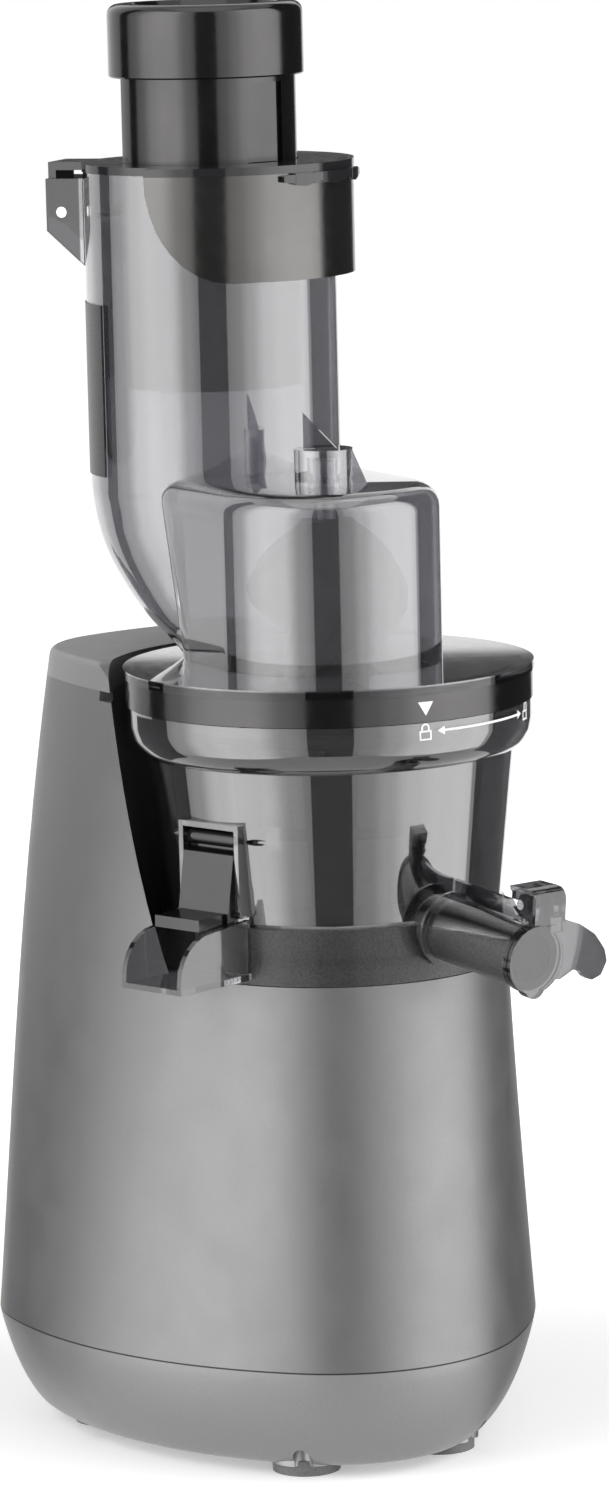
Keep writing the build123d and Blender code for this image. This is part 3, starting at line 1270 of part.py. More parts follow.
def flap_pin_form(grow):
    half = sqrt((CHUTE_R - CLEAR_WALL / 2) ** 2 - FLAP_PIVOT_R**2) - FLAP_PIN_R
    return behind(at_bearing(across_x(FLAP_PIN_R + grow, half, -FLAP_PIVOT_R, FLAP_PIVOT_Z), HINGE_BEARING))


def chute_flap():
    """Flap that hangs inside the chute between its wall and the pusher's flat."""
    y = -FLAP_PIVOT_R
    half = FLAP_W / 2
    flap = block(-half, half, y - FLAP_T / 2, y + FLAP_T / 2, FLAP_LOW_Z + half, FLAP_PIVOT_Z)
    flap += Pos(0, y, FLAP_LOW_Z + half) * Rot(90, 0, 0) * Cylinder(half, FLAP_T)
    flap += across_x(FLAP_PIN_R + 1.6, half, y, FLAP_PIVOT_Z)
    flap -= across_x(FLAP_PIN_R + RUN, half + 1, y, FLAP_PIVOT_Z)
    return behind(at_bearing(flap, HINGE_BEARING))


def flap_pin():
    return flap_pin_form(0.0)


# ================================================================ pusher
def pusher_body():
    height = PUSHER_CAP_Z0 + PUSHER_SPIGOT - PUSHER_Z0
    body = Pos(0, 0, PUSHER_Z0) * extrude(pusher_plan(), height)
    inner = Pos(0, 0, PUSHER_Z0 + PUSHER_WALL) * extrude(pusher_plan(-PUSHER_WALL - PUSHER_GROOVE_D), height)
    groove = block(
        -PUSHER_GROOVE_W / 2, PUSHER_GROOVE_W / 2, -2 * PUSHER_R, -PUSHER_R + PUSHER_GROOVE_D + 0.6,
        PUSHER_Z0 + 8, PUSHER_CAP_Z0 - 2,
    )
    return behind(body - inner - at_bearing(groove, PUSHER_GROOVE_BEARING))


def pusher_cap():
    """Round grip with a rolled rim and a dished top."""
    z0, z1, r = PUSHER_CAP_Z0, PUSHER_CAP_Z0 + PUSHER_CAP_H, PUSHER_CAP_R
    steps = 5
    rim = []
    for i in range(steps + 1):
        t = pi / 2 * i / steps
        rim.append((r - CAP_RIM_ROUND * (1 - cos(t)), z1 - CAP_RIM_ROUND * (1 - sin(t))))
    spigot = z0 + PUSHER_SPIGOT
    profile = [(0, spigot), (PUSHER_R, spigot), (PUSHER_R, z0), (r - 0.6, z0), (r, z0 + 0.6)]
    profile += rim + [(PUSHER_DISH_R, z1), (PUSHER_DISH_R - 2.0, z1 - PUSHER_DISH), (0, z1 - PUSHER_DISH)]
    return behind(turned(profile))


NODES = {
    "motor_housing": motor_housing,
    "column_cap": column_cap,
    "base_pan": base_pan,
    "rubber_feet": rubber_feet,
    "housing_screws": housing_screws,
    "rocker_frame": rocker_frame,
    "rocker_switch": rocker_switch,
    "cable_gland": cable_gland,
    "control_board": control_board,
    "board_bracket": board_bracket,
    "gear_case": gear_case,
    "gear_case_cover": gear_case_cover,
    "shaft_bearings": shaft_bearings,
    "idler_pin": idler_pin,
    "idler_gear": idler_gear,
    "output_gear": output_gear,
    "drive_shaft": drive_shaft,
    "rotor_shaft": rotor_shaft,
    "rotor_pinion": rotor_pinion,
    "rotor_core": rotor_core,
    "cooling_fan": cooling_fan,
    "motor_can": motor_can,
    "stator_core": stator_core,
    "stator_windings": stator_windings,
    "juice_bowl": juice_bowl,
    "bowl_shaft_seal": bowl_shaft_seal,
    "pulp_tray": pulp_tray,
    "pulp_gate": pulp_gate,
    "pulp_gate_pin": pulp_gate_pin,
    "spout_cap": spout_cap,
    "spout_cap_pin": spout_cap_pin,
    "spout_cap_seal": spout_cap_seal,
    "strainer_frame": strainer_frame,
    "strainer_screen": strainer_screen,
    "strainer_support": strainer_support,
    "brush_idler": brush_idler,
    "brush_idler_pin": brush_idler_pin,
    "brush_holder": brush_holder,
    "brush_wipers": brush_wipers,
    "auger": auger,
    "auger_gear": auger_gear,
    "auger_socket": auger_socket,
    "auger_pin": auger_pin,
    "lid_chute": lid_chute,
    "lid_seal": lid_seal,
    "lid_ring": lid_ring,
    "bearing_boss": bearing_boss,
    "hopper_cover": hopper_cover,
    "hopper_hinge_pin": hopper_hinge_pin,
    "chute_collar": chute_collar,
    "cover_latch": cover_latch,
    "information_plate": information_plate,
    "chute_flap": chute_flap,
    "flap_pin": flap_pin,
    "pusher_body": pusher_body,
    "pusher_cap": pusher_cap,
}


def footprint_middle():
    """Middle of the machine from the spout cap's lip to the rear wall, seen from the drive axis."""
    drop = radians(SPOUT_DROP)
    reach = SPOUT_END + (GAP + SPOUT_CAP_T) / cos(drop) + CAP_LIP_DROP * sin(drop)
    front = -reach * cos(radians(SPOUT_BEARING))
    rear = gland_seats()[1] + GLAND_LIP
    return (front + rear) / 2


def main():
    os.makedirs("parts", exist_ok=True)
    move = Pos(0, -footprint_middle(), 0)
    for name, build in NODES.items():
        made = build()
        if isinstance(made, list):
            shape = Compound([move * piece for piece in made])
        else:
            shape = move * made
        shape.label = name
        export_step(shape, f"parts/{name}.step")


main()
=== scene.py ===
from math import cos, pi, radians, sin, sqrt

import bmesh
import bpy
from mathutils import Matrix, Vector


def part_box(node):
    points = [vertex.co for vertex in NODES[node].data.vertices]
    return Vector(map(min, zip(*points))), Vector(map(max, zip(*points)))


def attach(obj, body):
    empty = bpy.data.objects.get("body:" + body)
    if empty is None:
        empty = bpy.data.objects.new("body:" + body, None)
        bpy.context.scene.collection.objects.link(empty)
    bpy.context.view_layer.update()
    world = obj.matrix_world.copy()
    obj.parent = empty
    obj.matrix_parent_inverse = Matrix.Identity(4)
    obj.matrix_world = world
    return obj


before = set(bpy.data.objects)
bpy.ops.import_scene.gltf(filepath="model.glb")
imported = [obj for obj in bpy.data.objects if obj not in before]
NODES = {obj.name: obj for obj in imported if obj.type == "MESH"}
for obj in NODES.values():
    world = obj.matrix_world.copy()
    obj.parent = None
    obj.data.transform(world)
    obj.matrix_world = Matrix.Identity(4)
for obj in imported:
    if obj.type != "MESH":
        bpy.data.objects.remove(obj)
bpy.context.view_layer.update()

MM = 0.001


def middle(node):
    low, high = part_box(node)
    return (Vector(low) + Vector(high)) / 2


AXIS = middle("lid_ring")  # the upright drive axis passes through the locking ring's middle
CHUTE = middle("pusher_cap")  # and the chute's axis through the pusher's cap


# ---------------------------------------------------------------- camera
VIEW_AZIMUTH = radians(-27.0)
VIEW_ELEVATION = radians(8.973)
VIEW_ROLL = radians(-1.382)
VIEW_FOCAL = 6172.0  # in pixels of a picture as high as the next value
PICTURE_HIGH = 1500.0
SENSOR = 36.0
FAR_CLIP = 50.0
EYE = Vector((-1019.85, -1980.78, 613.16)) * MM  # from the drive axis at table height


def make_camera():
    flat = cos(VIEW_ELEVATION)
    back = Vector((sin(VIEW_AZIMUTH) * flat, -cos(VIEW_AZIMUTH) * flat, sin(VIEW_ELEVATION)))
    level = Vector((cos(VIEW_AZIMUTH), sin(VIEW_AZIMUTH), 0))
    upright = back.cross(level)
    right = cos(VIEW_ROLL) * level + sin(VIEW_ROLL) * upright
    up = -sin(VIEW_ROLL) * level + cos(VIEW_ROLL) * upright
    data = bpy.data.cameras.new("camera")
    data.sensor_width = SENSOR
    data.lens = SENSOR * VIEW_FOCAL / PICTURE_HIGH
    data.clip_end = FAR_CLIP
    eye = bpy.data.objects.new("camera", data)
    bpy.context.collection.objects.link(eye)
    spin = Matrix((right, up, back)).transposed().to_4x4()
    eye.matrix_world = Matrix.Translation(Vector((AXIS.x, AXIS.y, 0)) + EYE) @ spin
    bpy.context.scene.camera = eye


make_camera()


# ---------------------------------------------------------------- materials
def srgb(r, g, b):
    def linear(v):
        v /= 255.0
        return v / 12.92 if v <= 0.04045 else ((v + 0.055) / 1.055) ** 2.4

    return (linear(r), linear(g), linear(b), 1.0)


def scaled(colour, factor):
    return tuple(min(1.0, c * factor) for c in colour[:3]) + (1.0,)


class Maker:
    """A Principled material and ways to drive it from noise in the object's own space."""

    def __init__(self, name, **inputs):
        self.material = bpy.data.materials.new(name)
        self.material.use_nodes = True
        self.tree = self.material.node_tree
        self.shader = self.tree.nodes["Principled BSDF"]
        self.place = self.node("ShaderNodeTexCoord").outputs["Object"]
        for key, value in inputs.items():
            self.shader.inputs[key.replace("_", " ")].default_value = value

    def node(self, kind, **values):
        made = self.tree.nodes.new(kind)
        for key, value in values.items():
            if key in made.inputs:
                made.inputs[key].default_value = value
            else:
                setattr(made, key, value)
        return made

    def link(self, out, into):
        self.tree.links.new(out, into)

    def stretched(self, x, y, z):
        mapping = self.node("ShaderNodeMapping")
        mapping.inputs["Scale"].default_value = (x, y, z)
        self.link(self.place, mapping.inputs["Vector"])
        return mapping.outputs["Vector"]

    def noise(self, scale, detail=3.0, where=None):
        made = self.node("ShaderNodeTexNoise", Scale=scale, Detail=detail)
        self.link(where or self.place, made.inputs["Vector"])
        return made.outputs["Fac"]

    def ramp(self, value, low, high, stops):
        """Colour ramp between two positions of value."""
        made = self.node("ShaderNodeValToRGB")
        made.color_ramp.elements[0].position = low
        made.color_ramp.elements[1].position = high
        made.color_ramp.elements[0].color = stops[0]
        made.color_ramp.elements[1].color = stops[1]
        self.link(value, made.inputs["Fac"])
        return made.outputs["Color"]

    def span(self, value, low, high, to_low, to_high):
        made = self.node("ShaderNodeMapRange")
        ends = (("From Min", low), ("From Max", high), ("To Min", to_low), ("To Max", to_high))
        for key, number in ends:
            made.inputs[key].default_value = number
        self.link(value, made.inputs["Value"])
        return made.outputs["Result"]

    def colour(self, value, low, high, stops):
        self.link(self.ramp(value, low, high, stops), self.shader.inputs["Base Color"])
        return self

    def darken(self, share, tone):
        """Takes the base colour towards a tone by a share."""
        mixed = self.node("ShaderNodeMix", data_type="RGBA")
        self.link(share, mixed.inputs[0])
        self.link(self.shader.inputs["Base Color"].links[0].from_socket, mixed.inputs[6])
        mixed.inputs[7].default_value = tone
        self.link(mixed.outputs[2], self.shader.inputs["Base Color"])

    def roughness(self, value, low, high, to_low, to_high):
        self.link(self.span(value, low, high, to_low, to_high), self.shader.inputs["Roughness"])
        return self

    def bump(self, value, strength, distance=0.0001):
        made = self.node("ShaderNodeBump", Strength=strength, Distance=distance)
        self.link(value, made.inputs["Height"])
        self.link(made.outputs["Normal"], self.shader.inputs["Normal"])
        return self

    def height(self):
        made = self.node("ShaderNodeSeparateXYZ")
        self.link(self.place, made.inputs["Vector"])
        return made.outputs["Z"]


SEAM_SHADOW = 0.7 * MM


def satin_paint(name, tone, seam=None):
    """Metallic paint on plastic: fine flakes, an even satin gloss and a painted shadow line under a
    seam.
    """
    made = Maker(name, Metallic=0.62, Roughness=0.4)
    flakes = made.noise(5200.0, 2.0)
    made.colour(flakes, 0.3, 0.7, (scaled(tone, 0.86), scaled(tone, 1.14)))
    if seam is not None:
        # painted shadow: the paint just under the seam goes nearly black, as if the seam's gap shaded
        # it
        line = made.span(made.height(), seam - SEAM_SHADOW, seam - 0.8 * SEAM_SHADOW, 0.0, 1.0)
        made.darken(line, scaled(tone, 0.12))
    made.roughness(made.noise(60.0, 4.0), 0.3, 0.7, 0.38, 0.45)
    return made.bump(flakes, 0.06).material


def gunmetal(name, tone, gloss):
    """Glossy dark metallic coating with faint polishing marks."""
    made = Maker(name, Metallic=0.9, Roughness=gloss)
    cloud = made.noise(35.0, 4.0)
    made.colour(cloud, 0.25, 0.75, (scaled(tone, 0.9), scaled(tone, 1.1)))
    made.roughness(made.noise(240.0, 4.0), 0.3, 0.7, gloss * 0.8, gloss * 1.25)
    return made.bump(made.noise(900.0, 2.0), 0.03).material


CLEAR_IOR = 1.49
CLEARNESS = 0.97
SHADED_COAT = 0.08


def polish(made, coat=1.0):
    """Hard bright gloss over a clear plastic."""
    made.shader.inputs["Coat Weight"].default_value = coat
    made.shader.inputs["Coat Roughness"].default_value = 0.03
    made.shader.inputs["Coat IOR"].default_value = 1.75


def shade_lid_and_bracket(made, reach, dark, coat):
    """Painted shade, darker and less polished, in the lid and in the bracket that stands out from the
    chute's top.
    """
    flat = made.node("ShaderNodeVectorMath", operation="MULTIPLY")
    made.link(made.place, flat.inputs[0])
    flat.inputs[1].default_value = (1.0, 1.0, 0.0)
    away = made.node("ShaderNodeVectorMath", operation="DISTANCE")
    made.link(flat.outputs["Vector"], away.inputs[0])
    away.inputs[1].default_value = (CHUTE.x, CHUTE.y, 0.0)
    upper = made.span(made.height(), BRACKET_LOW, BRACKET_LOW + 1.0 * MM, 0.0, 1.0)
    outer = made.span(away.outputs["Value"], reach, reach + 0.5 * MM, 0.0, 1.0)
    lid = made.span(made.height(), LID_TOP - 0.8 * MM, LID_TOP - 0.3 * MM, 1.0, 0.0)
    share = made.node("ShaderNodeMath", operation="MULTIPLY_ADD")
    for value, into in zip((upper, outer, lid), share.inputs):
        made.link(value, into)
    # painted shade: the lid and the bracket take the dark tone
    made.darken(share.outputs[0], dark)
    weight = made.span(share.outputs[0], 0.0, 1.0, coat, SHADED_COAT)
    made.link(weight, made.shader.inputs["Coat Weight"])


def smoky(name, tone, gloss=0.03, coat=1.0, painted_shade=None):
    """Clear smoke-grey plastic with faint moulding marks; painted_shade holds a reach and a dark tone.
    """
    made = Maker(name, Roughness=gloss, IOR=CLEAR_IOR)
    made.shader.inputs["Transmission Weight"].default_value = CLEARNESS
    polish(made, coat)
    made.colour(made.noise(18.0, 3.0), 0.3, 0.7, (scaled(tone, 0.95), scaled(tone, 1.05)))
    if painted_shade is not None:
        shade_lid_and_bracket(made, *painted_shade, coat)
    made.roughness(made.noise(120.0, 3.0), 0.3, 0.7, gloss * 0.7, gloss * 1.6)
    return made.bump(made.noise(45.0, 2.0), 0.03).material


def glossy(name, tone):
    """Opaque plastic polished like piano lacquer, with faint wiping marks."""
    made = Maker(name, Roughness=0.08)
    made.colour(made.noise(25.0, 3.0), 0.3, 0.7, (scaled(tone, 0.85), scaled(tone, 1.15)))
    made.roughness(made.noise(300.0, 4.0), 0.3, 0.7, 0.06, 0.12)
    return made.bump(made.noise(700.0, 2.0), 0.02).material


def bowl_plastic(name, tone, frost_top):
    """As smoky, with the bowl's skirt grained and frosted below a height."""
    made = Maker(name, IOR=CLEAR_IOR)
    made.shader.inputs["Transmission Weight"].default_value = CLEARNESS
    polish(made)
    frost = made.span(made.height(), frost_top, frost_top + 0.6 * MM, 1.0, 0.0)
    made.link(made.ramp(frost, 0.0, 1.0, (tone, FROST)), made.shader.inputs["Base Color"])
    made.link(made.span(frost, 0.0, 1.0, 0.035, 0.42), made.shader.inputs["Roughness"])
    made.link(made.span(frost, 0.0, 1.0, 1.0, 0.12), made.shader.inputs["Coat Weight"])
    lift = made.node("ShaderNodeMath", operation="MULTIPLY")
    made.link(made.noise(1100.0, 3.0), lift.inputs[0])
    made.link(frost, lift.inputs[1])
    made.darken(made.span(lift.outputs[0], 0.46, 0.6, 0.0, 0.5), FROST_PIT)
    return made.bump(lift.outputs[0], 0.8, 0.4 * MM).material


def moulded(name, tone, gloss=0.45, grain=700.0):
    """Plain moulded plastic with a fine eroded grain."""
    made = Maker(name, Roughness=gloss)
    fine = made.noise(grain, 4.0)
    made.colour(made.noise(25.0, 3.0), 0.3, 0.7, (scaled(tone, 0.88), scaled(tone, 1.12)))
    made.roughness(fine, 0.3, 0.7, gloss * 0.85, gloss * 1.15)
    return made.bump(fine, 0.12).material


def silicone(name, tone):
    made = Maker(name, Roughness=0.6)
    made.shader.inputs["Sheen Weight"].default_value = 0.15
    dust = made.noise(900.0, 5.0)
    made.colour(dust, 0.35, 0.75, (tone, scaled(tone, 1.5)))
    made.roughness(dust, 0.3, 0.7, 0.52, 0.7)
    return made.bump(dust, 0.15).material


def brushed(name, tone, gloss=0.28):
    """Steel with fine marks that run round the piece."""
    made = Maker(name, Metallic=1.0, Roughness=gloss)
    marks = made.noise(300.0, 3.0, made.stretched(1.0, 1.0, 12.0))
    made.colour(marks, 0.3, 0.7, (scaled(tone, 0.85), scaled(tone, 1.1)))
    made.roughness(marks, 0.3, 0.7, gloss * 0.8, gloss * 1.3)
    return made.bump(marks, 0.08).material


def perforated(name, tone):
    """Fine screen: rows of small dark holes in bright steel."""
    made = Maker(name, Metallic=1.0, Roughness=0.3)
    cells = made.node("ShaderNodeTexVoronoi", Scale=900.0)
    made.link(made.place, cells.inputs["Vector"])
    made.colour(cells.outputs["Distance"], 0.18, 0.3, (scaled(tone, 0.05), tone))
    return made.bump(cells.outputs["Distance"], 0.3).material


def laminated(name, tone):
    made = Maker(name, Metallic=0.8, Roughness=0.5)
    wave = made.node("ShaderNodeTexWave", Scale=320.0, bands_direction="Z")
    made.link(made.place, wave.inputs["Vector"])
    made.colour(wave.outputs["Fac"], 0.2, 0.8, (scaled(tone, 0.6), tone))
    return made.bump(wave.outputs["Fac"], 0.2).material


def wound_wire(name, tone):
    made = Maker(name, Metallic=0.9, Roughness=0.35)
    wave = made.node(
        "ShaderNodeTexWave", Scale=420.0, wave_type="RINGS", rings_direction="Z", Distortion=1.5
    )
    made.link(made.place, wave.inputs["Vector"])
    made.colour(wave.outputs["Fac"], 0.2, 0.8, (scaled(tone, 0.5), tone))
    return made.bump(wave.outputs["Fac"], 0.5, 0.0004).material


def circuit(name, tone):
    made = Maker(name, Roughness=0.35)
    brick = made.node("ShaderNodeTexBrick", Scale=180.0)
    made.link(made.place, brick.inputs["Vector"])
    made.colour(brick.outputs["Fac"], 0.4, 0.6, (tone, scaled(tone, 2.2)))
    return made.bump(brick.outputs["Fac"], 0.2).material


def cast(name, tone):
    made = Maker(name, Metallic=0.9, Roughness=0.5)
    grain = made.noise(420.0, 5.0)
    made.colour(grain, 0.3, 0.7, (scaled(tone, 0.8), scaled(tone, 1.1)))
    return made.bump(grain, 0.25).material


SKIRT_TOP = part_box("juice_bowl")[0][2] + 20.6 * MM
BRACKET_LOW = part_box("chute_collar")[1][2] - 40.0 * MM
LID_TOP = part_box("lid_ring")[1][2] + 3.3 * MM
FROST = srgb(138, 138, 137)
FROST_PIT = srgb(66, 66, 67)

BODY = satin_paint("satin_paint", srgb(115, 116, 115))
# painted light: the column cap wears a lighter copy of the housing's paint, for the light falling on
# its top
LIT_CAP_PAINT = satin_paint("satin_paint_cap_lit", srgb(140, 141, 140))
# painted light: the base pan wears a lighter copy of the housing's paint, making up for its
# downward-facing side getting less light
LIT_PAN_PAINT = satin_paint("satin_paint_pan_lit", srgb(138, 139, 138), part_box("base_pan")[1][2])
GUNMETAL = gunmetal("gunmetal", srgb(87, 86, 85), 0.15)
# painted shade: a darker copy of the gunmetal finish, worn by the pusher, the locking ring and the pulp
# gate
SHADED_GUNMETAL = gunmetal("gunmetal_shaded", srgb(67, 66, 66), 0.13)
# painted shade: the clear plastic is darker in the lid and in the chute's bracket, for the dark
# interior behind them
CLEAR = smoky("smoky_clear", srgb(152, 151, 156), painted_shade=(48.5 * MM, srgb(58, 58, 62)))
CLEAR_LIGHT = smoky("smoky_light", srgb(140, 139, 143), coat=0.35)
CLEAR_CAP = smoky("smoky_cap", srgb(96, 95, 98), 0.06, coat=0.2)
BLACK_GLOSS = glossy("black_gloss", srgb(34, 34, 36))
BOWL = bowl_plastic("smoky_bowl", srgb(112, 111, 114), SKIRT_TOP)
BLACK = moulded("black_plastic", srgb(28, 28, 28), 0.4)
DARK = moulded("dark_plastic", srgb(52, 51, 52), 0.38)
RUBBER = silicone("foot_rubber", srgb(96, 97, 96))
SILICONE = silicone("silicone", srgb(38, 38, 39))
STEEL = brushed("steel", srgb(196, 196, 197))
PLATE = moulded("blank_plate", srgb(46, 45, 46), 0.3, 1600.0)
WHITE = moulded("mark_white", srgb(235, 235, 233), 0.5)

DRESS = {
    BODY: ["motor_housing"],
    LIT_CAP_PAINT: ["column_cap"],
    LIT_PAN_PAINT: ["base_pan"],
    GUNMETAL: ["chute_collar"],
    SHADED_GUNMETAL: ["pusher_body", "pusher_cap", "lid_ring", "pulp_gate"],
    CLEAR: ["lid_chute", "chute_flap", "bearing_boss", "pulp_gate_pin"],
    CLEAR_LIGHT: ["pulp_tray"],
    CLEAR_CAP: ["spout_cap"],
    BLACK_GLOSS: ["hopper_cover", "cover_latch"],
    BOWL: ["juice_bowl"],
    BLACK: ["rocker_frame", "rocker_switch", "cable_gland", "board_bracket", "cooling_fan"],
    DARK: [
        "strainer_frame", "strainer_support", "brush_holder", "brush_idler", "auger", "auger_gear",
    ],
    RUBBER: ["rubber_feet"],
    SILICONE: ["bowl_shaft_seal", "spout_cap_seal", "brush_wipers", "lid_seal"],
    STEEL: [
        "housing_screws", "shaft_bearings", "idler_pin", "output_gear", "drive_shaft", "rotor_shaft",
        "rotor_pinion", "spout_cap_pin", "brush_idler_pin", "auger_socket", "auger_pin",
        "hopper_hinge_pin", "flap_pin", "motor_can",
    ],
    perforated("screen", srgb(170, 170, 172)): ["strainer_screen"],
    laminated("laminations", srgb(110, 110, 112)): ["rotor_core", "stator_core"],
    wound_wire("winding", srgb(190, 110, 62)): ["stator_windings"],
    circuit("circuit_board", srgb(26, 92, 52)): ["control_board"],
    moulded("nylon", srgb(226, 223, 212), 0.5): ["idler_gear"],
    cast("die_cast", srgb(176, 178, 180)): ["gear_case", "gear_case_cover"],
    PLATE: ["information_plate"],
}


def dress(item, material):
    item.data.materials.clear()
    item.data.materials.append(material)


for material, names in DRESS.items():
    for name in names:
        dress(NODES[name], material)


# ---------------------------------------------------------------- smooth shading
SHARP_EDGE = radians(32.0)
SAME_POINT = 2e-6


def smoothing():
    """Node group that shades curved faces smoothly, keeps the edges and leaves every point in place."""
    tree = bpy.data.node_groups.new("smooth_faces", "GeometryNodeTree")
    tree.interface.new_socket("Geometry", in_out="INPUT", socket_type="NodeSocketGeometry")
    tree.interface.new_socket("Geometry", in_out="OUTPUT", socket_type="NodeSocketGeometry")
    steps = [
        tree.nodes.new(kind) for kind in (
            "NodeGroupInput", "GeometryNodeMergeByDistance", "GeometryNodeRemoveAttribute",
            "GeometryNodeSetShadeSmooth", "GeometryNodeSetShadeSmooth", "NodeGroupOutput",
        )
    ]
    for before, after in zip(steps, steps[1:]):
        tree.links.new(before.outputs[0], after.inputs[0])
    weld, forget, faces, edges = steps[1:5]
    weld.inputs["Distance"].default_value = SAME_POINT
    forget.inputs["Name"].default_value = "custom_normal"
    faces.inputs["Shade Smooth"].default_value = True
    edges.domain = "EDGE"
    edges.inputs["Shade Smooth"].default_value = False
    angle = tree.nodes.new("GeometryNodeInputMeshEdgeAngle")
    sharp = tree.nodes.new("FunctionNodeCompare")
    sharp.operation = "GREATER_THAN"
    sharp.inputs["B"].default_value = SHARP_EDGE
    tree.links.new(angle.outputs["Unsigned Angle"], sharp.inputs["A"])
    tree.links.new(sharp.outputs["Result"], edges.inputs["Selection"])
    return tree


SMOOTHING = smoothing()
for node in NODES.values():
    node.modifiers.new("smooth_faces", "NODES").node_group = SMOOTHING


# ---------------------------------------------------------------- pieces
def piece(name, mesh, material, body):
    item = bpy.data.objects.new(name, mesh)
    bpy.context.collection.objects.link(item)
    item.data.materials.append(material)
    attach(item, body)
    return item


PRINT_UNDER = 0.1
PRINT_OVER = 0.12


def wrapped(
    name, shapes, radius, bearing, z, material, body,
    under=PRINT_UNDER, over=PRINT_OVER, axis=AXIS,
):
    """Thin shapes on a round wall, in mm: each is a list of (across, low, high) stations."""
    mesh = bmesh.new()
    turn = radians(bearing)

    def corner(across, up, lift):
        angle = turn + across / radius
        out = (radius + lift) * MM
        return mesh.verts.new((axis.x + out * sin(angle), axis.y - out * cos(angle), (z + up) * MM))

    for stations in shapes:
        rows = []
        for u, low, high in stations:
            section = ((low, -under), (high, -under), (high, over), (low, over))
            rows.append([corner(u, up, lift) for up, lift in section])
        for row, after in zip(rows, rows[1:]):
            for i in range(4):
                mesh.faces.new((row[i], row[(i + 1) % 4], after[(i + 1) % 4], after[i]))
        mesh.faces.new(rows[0][::-1])
        mesh.faces.new(rows[-1])
    bmesh.ops.recalc_face_normals(mesh, faces=mesh.faces)
    made = bpy.data.meshes.new(name)
    mesh.to_mesh(made)
    mesh.free()
    return piece(name, made, material, body)


def arch(outer, inner, leg, middle=0.0, steps=14):
    """Stations of a padlock's shackle, standing on height zero."""
    places = sorted({-inner, inner} | {outer * (2 * i / steps - 1) for i in range(steps + 1)})
    rows = []
    for u in places:
        high = leg + sqrt(max(0.0, outer ** 2 - u ** 2)) + 0.02
        low = leg + sqrt(max(0.0, inner ** 2 - u ** 2)) if abs(u) < inner else 0.0
        rows.append((middle + u, low, high))
    return rows


def padlock(middle, gap):
    """Outline of a padlock; with a gap its shackle stands higher and to one side, as when open."""
    half, low, high, line = 2.4, -3.0, 0.5, 0.6
    inner = half - line
    body = []
    for side in (-1, 1):
        body.append([(middle + side * half, low, high), (middle + side * inner, low, high)])
        edge = low + line if side < 0 else high
        body.append([(middle - inner, edge - line, edge), (middle + inner, edge - line, edge)])
    stations = arch(1.7, 1.05, 0.9 + gap, middle + gap)
    return body + [[(u, foot + high, top + high) for u, foot, top in stations]]


def arrow(start, end, head=3.0, half=0.42, wide=1.6, tip=0.05, steps=24):
    """Arrow with a head at both ends."""
    first, last = start + head, end - head
    shaft = [(first + (last - first) * i / steps, -half, half) for i in range(steps + 1)]
    left = [(start, -tip, tip), (first, -wide, wide)]
    right = [(last, -wide, wide), (end, -tip, tip)]
    return [left, shaft, right]


def wavy_bar(half, low, high, waves, depth, steps=48):
    """Bar with a wavy lower edge that runs out at both ends."""
    rows = []
    for i in range(steps + 1):
        share = 2 * i / steps - 1
        swell = depth * (0.5 + 0.5 * cos(pi * waves * share)) * (1 - abs(share) ** 6)
        rows.append((half * share, low - swell, high - 0.8 * abs(share) ** 6))
    return rows


COLLAR_R = 55.0  # the chute collar's wall, from the chute's axis
LATCH_BEARING = 30.0
LATCH_Z = 468.0
RING_R = 74.5
POINTER_Z = 285.7
FLANGE_R = 74.0
LOCK_Z = 277.2
OPEN_LOCK_AT = FLANGE_R * radians(45)  # along the flange from the closed lock
LOCK_ROOM = 5.0
OPEN_GAP = 0.7

wrapped(
    "latch_grip", [wavy_bar(26.0, -1.6, 1.4, 3, 1.8)], COLLAR_R, LATCH_BEARING, LATCH_Z,
    BLACK_GLOSS, "lid", 1.0, 1.5, CHUTE,
)
POINTER = [(-3.0, 2.3, 2.4), (0, -2.6, 2.4), (3.0, 2.3, 2.4)]
wrapped("lid_pointer", [POINTER], RING_R, 0, POINTER_Z, WHITE, "lid")
LOCKS = padlock(0.0, 0.0) + padlock(OPEN_LOCK_AT, OPEN_GAP)
TURN_ARROW = arrow(LOCK_ROOM, OPEN_LOCK_AT - LOCK_ROOM)
wrapped("lock_marks", LOCKS + TURN_ARROW, FLANGE_R, 0, LOCK_Z, WHITE, "bowl")


# ---------------------------------------------------------------- studio
FLOOR_LIFT = 0.74  # makes up the floor's light to white far out, where no shadow falls
FLOOR_LIFT_NEAR = 0.3  # and less by the object, where the lamps are close and the shadow falls
FLOOR_NEAR = 0.11
FLOOR_FAR = 0.8
FLOOR_HALF = 6.0


def stage_plane(name, corners, material):
    mesh = bpy.data.meshes.new(name)
    mesh.from_pydata(corners, [], [list(range(len(corners)))])
    item = bpy.data.objects.new(name, mesh)
    bpy.context.collection.objects.link(item)
    item.data.materials.append(material)
    return item


